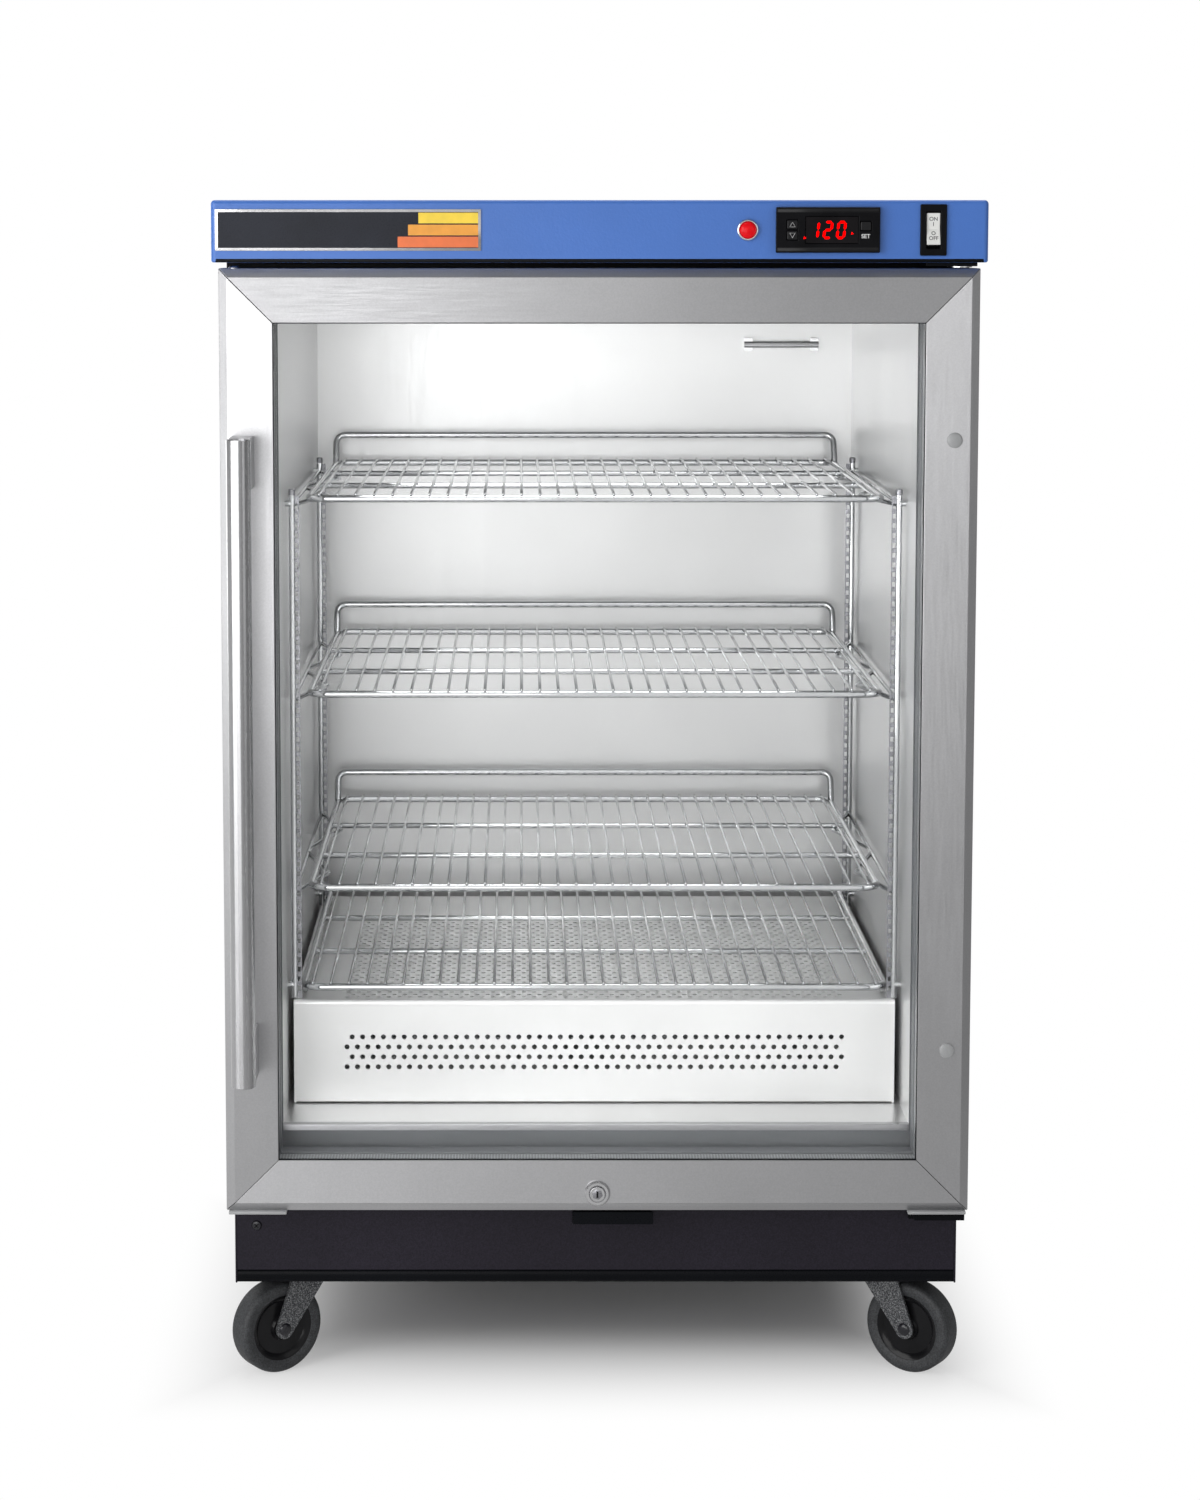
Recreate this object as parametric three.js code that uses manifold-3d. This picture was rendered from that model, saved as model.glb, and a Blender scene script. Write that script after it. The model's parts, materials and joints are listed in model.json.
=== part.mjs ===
// A blanket warming cabinet on casters: an insulated stainless chamber with a glass door,
// wire shelves over a floor heater, and the controls in a painted lid.
// Millimetres, +Z up, the door faces -Y, the origin is on the floor under the middle of the cabinet.
import * as THREE from "three";
import { mergeVertices } from "three/addons/utils/BufferGeometryUtils.js";
import Module from "manifold-3d";

const wasm = await Module();
wasm.setup();

// Clearances
const turnedGap = 0.3;
const pinGap = 0.3;
const keyGap = 0.3;
const mitreGap = 0.3;
const glassEdgeGap = 0.5;
const sealGap = 0.2;

// How far a cutting tool runs past a face, how far a welded wire sinks in, and the break on turned edges
const overcut = 1;
const weldSink = 1;
const edgeBreak = 1;

// Casters
const wheelDiameter = 75;
const wheelWidth = 22;
const tyreShoulder = 4;
const hubDiameter = 55;
const hubDish = 3;
const axleDiameter = 8;
const rivetDiameter = 13;
const rivetHeight = 2;
const casterHeight = 98;
const casterTrail = 24;
const casterPlateSize = 60;
const casterPlateThickness = 3;
const racewayDiameter = 44;
const racewayHeight = 4;
const kingpinDiameter = 10;
const crownThickness = 6;
const crownDiameter = 46;
const forkThickness = 2.5;
const forkTopWidth = 34;
const forkEndRadius = 8;
const forkEndFrom = 207;
const forkEndTo = 378;
const wheelSideGap = 0.8;
const casterInset = 50;
const casterTurn = 35;

// Cabinet shell
const shellWidth = 585;
const shellDepth = 520;
const shellWall = 1.5;
const basePanDrop = 12.5;
const basePanThickness = 2;
const basePanFlange = 22;
const plinthReveal = 74.5;
const plinthThickness = 2;
const plinthReturn = 14;
const plinthLipHeight = 11;
const plinthLipSetback = 3;
const rearCoverThickness = 2;
const rearPanRaise = 4;
const rearPanMargin = 60;
const rearPanSheet = 1.5;
const rearVentCount = 12;
const rearVentHeight = 4;
const rearVentPitch = 14;
const rearVentWidth = 200;
const rearVentDrop = 90;

// Chamber
const chamberSideWall = 40;
const chamberFloorRise = 58;
const chamberHeight = 652;
const chamberRearWall = 36;
const floorInsulation = 45;
const linerWall = 1.2;

// Door
const doorSideLap = 2.5;
const doorHeight = 747.5;
const doorThickness = 40;
const frameFace = 42;
const frameBevelWidth = 7;
const frameBevelDepth = 5;
const frameLip = 3;
const frameRebate = 30;
const paneThickness = 4;
const spacerDepth = 12;
const spacerEdge = 2;
const spacerHeight = 9.5;
const glazingFrameFace = 12;
const gasketThickness = 8;
const gasketInset = 16;
const gasketWidth = 22;
const gasketLip = 6;

// Handle, on the stile away from the hinge
const handleDiameter = 19;
const handleLength = 505;
const handleRise = 113;
const handleInset = 18.5;
const handleStandoff = 40.5;
const handleBracketWidth = 17;
const handleBracketHeight = 40;

// Cover plugs on the hinge stile
const plugInset = 19;
const plugLowRise = 131;
const plugHighRise = 614.5;
const plugDiameter = 12;
const plugHeadHeight = 2.5;
const plugStemDiameter = 6;
const plugStemLength = 10;

// Lock in the bottom rail, and its strike
const lockRise = 15.5;
const lockFlangeDiameter = 20.5;
const lockFlangeHeight = 3;
const lockBarrelDiameter = 16;
const lockBarrelLength = 14;
const lockPlugDiameter = 12;
const lockPlugProud = 1;
const lockShaftDiameter = 7;
const camLength = 23.5;
const camWidth = 8;
const camThickness = 4;
const camSlotGap = 1.5;
const strikeWidth = 64;
const strikeShift = 13;
const strikeFloorDrop = 11;
const strikeThickness = 2;
const strikeLipClear = 3;
const strikeLipReach = 9;
const strikeFlangeHeight = 13;

// Hinges, on the +X side
const hingeInset = 14;
const hingePinDiameter = 8;
const hingePinDepth = 12;
const hingePlateWidth = 40;
const hingePlateThickness = 3;
const hingePlateReach = 12;
const hingeCollarDiameter = 16;
const hingeFlangeHeight = 15;
const bottomHingeThickness = 5;

// Lid
const lidSideOverhang = 7.5;
const lidHeight = 48;
const lidGap = 4.5;
const lidOverhang = 2;
const lidWall = 1.5;
const lidCorner = 4;
const lidFlange = 14;
const lidFrontFlange = 60;

// Controls on the lid's fascia: the plate from its left end, the rest from its right end
const controlRise = 25;
const plateFromEnd = 106;
const plateWidth = 205;
const plateHeight = 32;
const plateThickness = 1;
const lampFromEnd = 186;
const lampBezelDiameter = 17;
const lampBezelHeight = 3;
const lampTubeDiameter = 15;
const lampLensDiameter = 12.4;
const lampLensHeight = 5;
const lampDepth = 16;
const controllerFromEnd = 124.5;
const controllerWidth = 80;
const controllerHeight = 35;
const controllerProud = 5;
const controllerBodyWidth = 71;
const controllerBodyHeight = 29;
const controllerBodyDepth = 55;
const windowShift = 3;
const windowWidth = 40;
const windowHeight = 20;
const windowThickness = 1.2;
const keyWidth = 8;
const keyHeight = 6.6;
const keyDepth = 3;
const keyProud = 0.8;
const keyPocketDepth = 5;
const arrowKeyShift = -27.5;
const arrowKeyPitch = 8.3;
const setKeyShift = 29;
const setKeyRise = 3;
const switchFromEnd = 43;
const switchWidth = 20.5;
const switchHeight = 39.4;
const switchProud = 2.5;
const switchBodyWidth = 17;
const switchBodyHeight = 35;
const switchBodyDepth = 24;
const rockerWidth = 10.4;
const rockerHeight = 24.4;
const rockerPivotDepth = 4;
const rockerReach = 7;
const rockerHollow = 2.6;
const rockerBack = 4;
const rockerTilt = 8;
const rockerEndGap = 2;

// Floor heater
const heaterSetback = 62;
const heaterSideGap = 4.5;
const heaterHeight = 87;
const heaterRearGap = 22;
const heaterWall = 1.5;
const elementRadius = 4;
const elementReach = 190;
const elementSpacing = 60;
const elementSetback = 112;
const elementRise = 32;
const elementPostWidth = 12;
const terminalWidth = 26;
const fanRearGap = 70;
const fanRise = 43;
const fanRadius = 34;
const fanHubRadius = 11;
const fanDepth = 16;
const fanBladeCount = 5;
const fanBladePitch = 35;
const fanBladeThickness = 2;
const fanBladeChord = 16;
const motorRadius = 24;
const motorLength = 34;
const motorShaftRadius = 3;
const motorFootWidth = 60;
const motorFootThickness = 3;
const motorPostWidth = 24;
const fanGap = 1.5;

// Shelves, rack and ladders
const railWire = 5;
const gridWire = 2.4;
const gridPitch = 15;
const gridSink = 0.8;
const gridEndInset = 1.25;
const shelfSideGap = 16;
const shelfRearGap = 17;
const shelfLowRise = 95.5;
const shelfPitch = 160.5;
const shelfCount = 3;
const shelfCrossWires = 2;
const shelfBackRise = 27;
const rackSideGap = 9.5;
const rackRearGap = 30;
const rackFootHeight = 7.5;
const rackCrossWires = 2;
const ladderWallGap = 3;
const ladderWire = 5;
const ladderFrontSetback = 66;
const ladderRearGap = 64;
const ladderTopRise = 6;
const ladderPegInset = 12;
const clipReach = 23;
const clipRun = 83;
const clipWire = 4;

// Temperature probe and power inlet
const probeDiameter = 6;
const probeLength = 70;
const probeDrop = 40;
const probeFromWall = 32.5;
const probeClip = 8;
const inletWidth = 50;
const inletHeight = 28;
const inletBodyWidth = 44;
const inletBodyHeight = 22;
const inletDepth = 26;
const inletFlange = 2;
const inletRise = 40;
const inletFromSide = 92.5;

// Widths, levels and depths that follow from the sizes above
const chamberWidth = shellWidth - 2 * chamberSideWall;
const doorWidth = shellWidth + 2 * doorSideLap;
const lidWidth = shellWidth + 2 * lidSideOverhang;
const heaterWidth = chamberWidth - 2 * heaterSideGap;
const shelfWidth = chamberWidth - 2 * shelfSideGap;
const rackWidth = chamberWidth - 2 * rackSideGap;
const platePlace = plateFromEnd - lidWidth / 2;
const lampPlace = lidWidth / 2 - lampFromEnd;
const controllerPlace = lidWidth / 2 - controllerFromEnd;
const switchPlace = lidWidth / 2 - switchFromEnd;
const probePlace = chamberWidth / 2 - probeFromWall - probeLength;
const inletPlace = inletFromSide - shellWidth / 2;
const chamberDepth = shellDepth - chamberRearWall;
const heaterDepth = chamberDepth - heaterSetback - heaterRearGap;
const fanSetback = heaterDepth - fanRearGap;
const shelfDepth = chamberDepth - heaterSetback - shelfRearGap;
const rackDepth = chamberDepth - heaterSetback - rackRearGap;
const ladderRearSetback = chamberDepth - ladderRearGap;
const overallDepth =
  handleDiameter / 2 +
  handleStandoff +
  doorThickness +
  gasketThickness +
  shellDepth +
  rearCoverThickness +
  rearPanRaise;
const rearY = overallDepth / 2;
const shellRearY = rearY - rearPanRaise - rearCoverThickness;
const shellFrontY = shellRearY - shellDepth;
const doorRearY = shellFrontY - gasketThickness;
const doorFrontY = doorRearY - doorThickness;
const handleY = doorFrontY - handleStandoff;
const lidFrontY = doorFrontY - lidOverhang;
const shellBottomZ = casterHeight - basePanDrop;
const doorBottomZ = shellBottomZ + plinthReveal;
const doorTopZ = doorBottomZ + doorHeight;
const lidBottomZ = doorTopZ + lidGap;
const lidTopZ = lidBottomZ + lidHeight;
const chamberFloorZ = doorBottomZ + chamberFloorRise;
const chamberTopZ = chamberFloorZ + chamberHeight;
const chamberRearY = shellFrontY + chamberDepth;
const insulationBottomZ = chamberFloorZ - linerWall - floorInsulation;
const shellInnerX = shellWidth / 2 - shellWall;
const heaterFrontY = shellFrontY + heaterSetback;
const heaterTopZ = chamberFloorZ + heaterHeight;
const hingeX = doorWidth / 2 - hingeInset;
const hingeY = doorFrontY + doorThickness / 2;
const controlZ = lidBottomZ + controlRise;

// Facets of round pieces, and steps of arcs and domes
const roundSides = 20;
const smallSides = 12;
const wheelSides = 24;
const tubeSides = 8;
const tubeSteps = 32;
const arcSteps = 6;
const domeSteps = 3;

// Finishes
const bluePaint = { color: 0x4a7ac4, roughness: 0.45, metalness: 0.0 };
const blackPaint = { color: 0x26242a, roughness: 0.55, metalness: 0.0 };
const stainless = { color: 0xd6d6d4, roughness: 0.3, metalness: 0.9 };
const satinFrame = { color: 0xa6a7aa, roughness: 0.35, metalness: 0.8 };
const brightWire = { color: 0xd0d2d4, roughness: 0.18, metalness: 1.0 };
const foam = { color: 0xe6ddc0, roughness: 0.95, metalness: 0.0 };
const clearGlass = { color: 0xe8f0ee, roughness: 0.03, metalness: 0.0, transparent: true, opacity: 0.2 };
const greyPlastic = { color: 0xb4b7ba, roughness: 0.6, metalness: 0.0 };
const greyRubber = { color: 0x8c9094, roughness: 0.8, metalness: 0.0 };
const blackPlastic = { color: 0x141416, roughness: 0.4, metalness: 0.0 };
const whitePlastic = { color: 0xeeeeea, roughness: 0.4, metalness: 0.0 };
const redPlastic = { color: 0xc81420, roughness: 0.2, metalness: 0.0 };
const smokedWindow = { color: 0x300808, roughness: 0.15, metalness: 0.0 };
const platedSteel = { color: 0xb9bcc0, roughness: 0.3, metalness: 1.0 };
const wheelRubber = { color: 0x2c2e31, roughness: 0.7, metalness: 0.0 };
const motorSteel = { color: 0x8a8d90, roughness: 0.5, metalness: 0.8 };

// A closed three.js geometry as a solid that can be joined and cut.
function solidOf(geometry) {
  geometry.deleteAttribute("normal");
  geometry.deleteAttribute("uv");
  const merged = mergeVertices(geometry, 1e-4);
  return new wasm.Manifold(
    new wasm.Mesh({
      numProp: 3,
      vertProperties: merged.attributes.position.array,
      triVerts: new Uint32Array(merged.index.array),
    }),
  );
}

function geometryOf(solid) {
  const mesh = solid.getMesh();
  const geometry = new THREE.BufferGeometry();
  geometry.setAttribute("position", new THREE.BufferAttribute(mesh.vertProperties, 3));
  geometry.setIndex(new THREE.BufferAttribute(mesh.triVerts, 1));
  geometry.computeVertexNormals();
  return geometry;
}

function join(...solids) {
  return solids.reduce((whole, next) => whole.add(next));
}

// A block between two opposite corners.
function block(x0, x1, y0, y1, z0, z1) {
  const geometry = new THREE.BoxGeometry(x1 - x0, y1 - y0, z1 - z0);
  geometry.translate((x0 + x1) / 2, (y0 + y1) / 2, (z0 + z1) / 2);
  return solidOf(geometry);
}

// A block given by its middle and size across X and Z, and its ends along Y.
function slab(x, z, width, height, y0, y1) {
  return block(x - width / 2, x + width / 2, y0, y1, z - height / 2, z + height / 2);
}

// Turns a geometry made along +Z so that it runs along X, Y or Z. A section drawn for X is in (y, z),
// for Y in (z, x) and for Z in (x, y).
function along(axis, geometry) {
  const ex = new THREE.Vector3(1, 0, 0);
  const ey = new THREE.Vector3(0, 1, 0);
  const ez = new THREE.Vector3(0, 0, 1);
  const turn = new THREE.Matrix4();
  if (axis === "x") turn.makeBasis(ey, ez, ex);
  if (axis === "y") turn.makeBasis(ez, ex, ey);
  return geometry.applyMatrix4(turn);
}

// A prism with the given section, from one place along its axis to another.
function prism(axis, section, from, to) {
  const shape = new THREE.Shape(section.map(([a, b]) => new THREE.Vector2(a, b)));
  const geometry = new THREE.ExtrudeGeometry(shape, { depth: to - from, bevelEnabled: false });
  geometry.translate(0, 0, from);
  return solidOf(along(axis, geometry));
}

// A turned piece: radius and place pairs that start and end on the axis.
function turned(axis, profile, sides) {
  const points = profile.map(([radius, place]) => new THREE.Vector2(radius, place));
  const geometry = new THREE.LatheGeometry(points, sides);
  geometry.rotateX(Math.PI / 2);
  return solidOf(along(axis, geometry));
}

// Profile points of a domed head that rises towards -Y, from its tip to its edge.
function domePoints(radius, baseY, height) {
  const points = [];
  for (let i = 0; i <= domeSteps; i++) {
    const angle = ((i / domeSteps) * Math.PI) / 2;
    points.push([radius * Math.sin(angle), baseY - height * Math.cos(angle)]);
  }
  return points;
}

function cylinder(axis, radius, from, to, sides = roundSides) {
  const profile = [
    [0, from],
    [radius, from],
    [radius, to],
    [0, to],
  ];
  return turned(axis, profile, sides);
}

// A straight wire of square section between two points.
function wire(from, to, size) {
  const start = new THREE.Vector3(...from);
  const end = new THREE.Vector3(...to);
  const direction = end.clone().sub(start);
  const geometry = new THREE.BoxGeometry(size, size, direction.length());
  const turn = new THREE.Matrix4().lookAt(end, start, new THREE.Vector3(0, 0, 1));
  geometry.applyMatrix4(turn);
  geometry.translate((start.x + end.x) / 2, (start.y + end.y) / 2, (start.z + end.z) / 2);
  return solidOf(geometry);
}

// A flat ring with a square-cornered outline in X and Z.
function ring(halfWidth, lowZ, highZ, face, y0, y1) {
  const outer = block(-halfWidth, halfWidth, y0, y1, lowZ, highZ);
  const halfInner = halfWidth - face;
  const inner = block(-halfInner, halfInner, y0 - overcut, y1 + overcut, lowZ + face, highZ - face);
  return outer.subtract(inner);
}

const cabinet = new THREE.Group();

function add(parent, name, solid, finish) {
  const mesh = new THREE.Mesh(geometryOf(solid), new THREE.MeshStandardMaterial(finish));
  mesh.name = name;
  parent.add(mesh);
}

// Outer shell: two sides and a top in one bent sheet.
function outerShell() {
  const half = shellWidth / 2;
  const outer = block(-half, half, shellFrontY, shellRearY, shellBottomZ, lidBottomZ);
  const inner = block(
    -shellInnerX,
    shellInnerX,
    shellFrontY - overcut,
    shellRearY + overcut,
    shellBottomZ - overcut,
    lidBottomZ - shellWall,
  );
  return outer.subtract(inner);
}

// Stainless liner: an open-fronted box with a flange round its mouth.
function innerLiner() {
  const half = chamberWidth / 2;
  const shell = block(
    -half - linerWall,
    half + linerWall,
    shellFrontY,
    chamberRearY + linerWall,
    chamberFloorZ - linerWall,
    chamberTopZ + linerWall,
  );
  const flange = block(
    -shellInnerX,
    shellInnerX,
    shellFrontY,
    shellFrontY + linerWall,
    insulationBottomZ,
    lidBottomZ - shellWall,
  );
  const chamber = block(-half, half, shellFrontY - overcut, chamberRearY, chamberFloorZ, chamberTopZ);
  return shell.add(flange).subtract(chamber);
}

function insulation() {
  const half = chamberWidth / 2 + linerWall;
  const filling = block(
    -shellInnerX,
    shellInnerX,
    shellFrontY + linerWall,
    shellRearY,
    insulationBottomZ,
    lidBottomZ - shellWall,
  );
  const hollow = block(
    -half,
    half,
    shellFrontY,
    chamberRearY + linerWall,
    chamberFloorZ - linerWall,
    chamberTopZ + linerWall,
  );
  return filling.subtract(hollow);
}

// Plinth: a folded panel between the sides, with a set-back lip along its foot.
function plinthPanel() {
  const front = shellFrontY;
  const back = front + plinthThickness;
  const lipFront = front + plinthLipSetback;
  const lipBack = lipFront + plinthThickness;
  const lipTop = shellBottomZ + plinthLipHeight;
  const top = insulationBottomZ - turnedGap;
  const section = [
    [front, top],
    [front, lipTop],
    [lipFront, lipTop],
    [lipFront, shellBottomZ],
    [lipFront + plinthReturn, shellBottomZ],
    [lipFront + plinthReturn, shellBottomZ + plinthThickness],
    [lipBack, shellBottomZ + plinthThickness],
    [lipBack, lipTop + plinthThickness],
    [back, lipTop + plinthThickness],
    [back, top - plinthThickness],
    [front + plinthReturn, top - plinthThickness],
    [front + plinthReturn, top],
  ];
  return prism("x", section, -shellInnerX, shellInnerX);
}

// Base pan: the floor that carries the casters, with flanges up against the shell's sides.
function basePan() {
  const front = shellFrontY + plinthLipSetback + plinthThickness;
  const top = casterHeight + basePanThickness;
  const floor = block(-shellInnerX, shellInnerX, front, shellRearY, casterHeight, top);
  const flangeTop = casterHeight + basePanFlange;
  const inner = shellInnerX - basePanThickness;
  const left = block(-shellInnerX, -inner, front, shellRearY, casterHeight, flangeTop);
  const right = block(inner, shellInnerX, front, shellRearY, casterHeight, flangeTop);
  return join(floor, left, right);
}

// Rear cover: a sheet with a raised, louvred panel and the inlet's cut-out.
function rearCover() {
  const half = shellWidth / 2;
  const sheetY = shellRearY + rearCoverThickness;
  const panHalf = half - rearPanMargin;
  const panBottom = shellBottomZ + rearPanMargin + inletRise;
  const panTop = lidBottomZ - rearPanMargin;
  let cover = block(-half, half, shellRearY, sheetY, shellBottomZ, lidBottomZ);
  cover = cover.add(block(-panHalf, panHalf, sheetY, rearY, panBottom, panTop));
  const hollow = block(
    -panHalf + rearPanSheet,
    panHalf - rearPanSheet,
    shellRearY - overcut,
    rearY - rearPanSheet,
    panBottom + rearPanSheet,
    panTop - rearPanSheet,
  );
  cover = cover.subtract(hollow);
  for (let i = 0; i < rearVentCount; i++) {
    const z = panTop - rearVentDrop - i * rearVentPitch;
    cover = cover.subtract(slab(0, z, rearVentWidth, rearVentHeight, sheetY, rearY + overcut));
  }
  const cut = slab(
    inletPlace,
    shellBottomZ + inletRise,
    inletBodyWidth + 2 * keyGap,
    inletBodyHeight + 2 * keyGap,
    shellRearY - overcut,
    sheetY + overcut,
  );
  return cover.subtract(cut);
}

function powerInlet() {
  const z = shellBottomZ + inletRise;
  const face = shellRearY + rearCoverThickness;
  const flange = slab(inletPlace, z, inletWidth, inletHeight, face, face + inletFlange);
  const body = slab(inletPlace, z, inletBodyWidth, inletBodyHeight, face - inletDepth, face);
  const socketWidth = inletBodyWidth / 2;
  const socketHeight = inletBodyHeight / 2;
  const socketBackY = face - inletDepth / 2;
  const mouthY = face + inletFlange + overcut;
  const socket = slab(inletPlace, z, socketWidth, socketHeight, socketBackY, mouthY);
  return flange.add(body).subtract(socket);
}

// Lid: a hollow cover with rounded upright corners, cut out for the controls.
function lid() {
  const half = lidWidth / 2;
  const outline = new THREE.Shape();
  outline.absarc(half - lidCorner, lidFrontY + lidCorner, lidCorner, -Math.PI / 2, 0, false);
  outline.absarc(half - lidCorner, rearY - lidCorner, lidCorner, 0, Math.PI / 2, false);
  outline.absarc(-half + lidCorner, rearY - lidCorner, lidCorner, Math.PI / 2, Math.PI, false);
  outline.absarc(-half + lidCorner, lidFrontY + lidCorner, lidCorner, Math.PI, 1.5 * Math.PI, false);
  const geometry = new THREE.ExtrudeGeometry(outline, {
    depth: lidHeight,
    bevelEnabled: false,
    curveSegments: arcSteps,
  });
  geometry.translate(0, 0, lidBottomZ);
  const hollow = block(
    -half + lidWall,
    half - lidWall,
    lidFrontY + lidWall,
    rearY - lidWall,
    lidBottomZ + lidWall,
    lidTopZ - lidWall,
  );
  const mouth = block(
    -half + lidFlange,
    half - lidFlange,
    lidFrontY + lidFrontFlange,
    rearY - lidFlange,
    lidBottomZ - overcut,
    lidBottomZ + lidWall + overcut,
  );
  const behind = lidFrontY + lidWall + overcut;
  const before = lidFrontY - overcut;
  const controllerCut = slab(
    controllerPlace,
    controlZ,
    controllerBodyWidth + 2 * keyGap,
    controllerBodyHeight + 2 * keyGap,
    before,
    behind,
  );
  const switchCut = slab(
    switchPlace,
    controlZ,
    switchBodyWidth + 2 * keyGap,
    switchBodyHeight + 2 * keyGap,
    before,
    behind,
  );
  const lampCut = cylinder("y", lampTubeDiameter / 2 + turnedGap, before, behind);
  return solidOf(geometry)
    .subtract(hollow)
    .subtract(mouth)
    .subtract(controllerCut)
    .subtract(switchCut)
    .subtract(lampCut.translate(lampPlace, 0, controlZ));
}

function nameplate() {
  return slab(platePlace, controlZ, plateWidth, plateHeight, lidFrontY - plateThickness, lidFrontY);
}

// Pilot lamp: a turned bezel with a tube through the fascia, and a domed lens in its bore.
function lampBezel() {
  const bore = lampLensDiameter / 2 + turnedGap;
  const profile = [
    [bore, lidFrontY - lampBezelHeight],
    [lampBezelDiameter / 2 - edgeBreak, lidFrontY - lampBezelHeight],
    [lampBezelDiameter / 2, lidFrontY - lampBezelHeight + edgeBreak],
    [lampBezelDiameter / 2, lidFrontY],
    [lampTubeDiameter / 2, lidFrontY],
    [lampTubeDiameter / 2, lidFrontY + lampDepth],
    [bore, lidFrontY + lampDepth],
    [bore, lidFrontY - lampBezelHeight],
  ];
  return turned("y", profile, roundSides).translate(lampPlace, 0, controlZ);
}

function lampLens() {
  const radius = lampLensDiameter / 2;
  const shoulder = lidFrontY - lampBezelHeight;
  const profile = [
    ...domePoints(radius, shoulder, lampLensHeight - lampBezelHeight),
    [radius, lidFrontY + lampDepth],
    [0, lidFrontY + lampDepth],
  ];
  return turned("y", profile, roundSides).translate(lampPlace, 0, controlZ);
}

// Places of the controller's keys: across and up from the controller's middle.
const keyPlaces = {
  button_up: [arrowKeyShift, arrowKeyPitch / 2],
  button_down: [arrowKeyShift, -arrowKeyPitch / 2],
  button_set: [setKeyShift, setKeyRise],
};
const controllerFaceY = lidFrontY - controllerProud;

function controllerCase() {
  const bezel = slab(
    controllerPlace,
    controlZ,
    controllerWidth,
    controllerHeight,
    controllerFaceY,
    lidFrontY,
  );
  const body = slab(
    controllerPlace,
    controlZ,
    controllerBodyWidth,
    controllerBodyHeight,
    lidFrontY,
    lidFrontY + controllerBodyDepth,
  );
  const pocket = slab(
    controllerPlace + windowShift,
    controlZ,
    windowWidth + 2 * keyGap,
    windowHeight + 2 * keyGap,
    controllerFaceY - overcut,
    controllerFaceY + windowThickness,
  );
  let whole = bezel.add(body).subtract(pocket);
  for (const [across, up] of Object.values(keyPlaces)) {
    const keyPocket = slab(
      controllerPlace + across,
      controlZ + up,
      keyWidth + 2 * keyGap,
      keyHeight + 2 * keyGap,
      controllerFaceY - overcut,
      controllerFaceY + keyPocketDepth,
    );
    whole = whole.subtract(keyPocket);
  }
  return whole;
}

function displayWindow() {
  const x = controllerPlace + windowShift;
  return slab(x, controlZ, windowWidth, windowHeight, controllerFaceY, controllerFaceY + windowThickness);
}

function controllerKey([across, up]) {
  const front = controllerFaceY - keyProud;
  return slab(controllerPlace + across, controlZ + up, keyWidth, keyHeight, front, front + keyDepth);
}

// Power switch: a bezel with a pocket, and a rocker with its upper end pressed in.
const rockerPivotY = lidFrontY + rockerPivotDepth;

function switchBezel() {
  const bezel = slab(switchPlace, controlZ, switchWidth, switchHeight, lidFrontY - switchProud, lidFrontY);
  const body = slab(
    switchPlace,
    controlZ,
    switchBodyWidth,
    switchBodyHeight,
    lidFrontY,
    lidFrontY + switchBodyDepth,
  );
  const pocket = slab(
    switchPlace,
    controlZ,
    rockerWidth + 2 * keyGap,
    rockerHeight + 2 * rockerEndGap,
    lidFrontY - switchProud - overcut,
    lidFrontY + switchBodyDepth / 2,
  );
  return bezel.add(body).subtract(pocket);
}

function switchRocker() {
  const half = rockerHeight / 2;
  const section = [
    [-rockerReach, half],
    [-rockerReach + rockerHollow, 0],
    [-rockerReach, -half],
    [-rockerReach + rockerHollow, -half],
    [rockerBack, -half / 2],
    [rockerBack, half / 2],
    [-rockerReach + rockerHollow, half],
  ];
  const rocker = prism("x", section, -rockerWidth / 2, rockerWidth / 2);
  return rocker.rotate(-rockerTilt, 0, 0).translate(switchPlace, rockerPivotY, controlZ);
}

// Door frame: one rebated section along each side, mitred at the corners.
const frameSection = [
  [0, frameBevelDepth],
  [frameBevelWidth, 0],
  [frameFace, 0],
  [frameFace, frameLip],
  [frameRebate, frameLip],
  [frameRebate, doorThickness],
  [0, doorThickness],
];

// A rail of the given length along X, its outer edge up at z = 0 and its front at y = 0.
function mitredRail(length) {
  const section = frameSection.map(([inward, back]) => [back, -inward]);
  const half = length / 2;
  const bar = prism("x", section, -half, half);
  const slip = mitreGap * Math.SQRT1_2;
  const mitre = [
    [0, -half + slip],
    [-frameFace, -half + slip + frameFace],
    [-frameFace, half - slip - frameFace],
    [0, half - slip],
  ];
  return bar.intersect(prism("y", mitre, -overcut, doorThickness + overcut));
}

const doorMiddleZ = (doorBottomZ + doorTopZ) / 2;
const lockZ = doorBottomZ + lockRise;
const lockBackY = doorFrontY + lockBarrelLength;
const camFrontY = lockBackY + camSlotGap;
const camBackY = camFrontY + camThickness;

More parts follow.
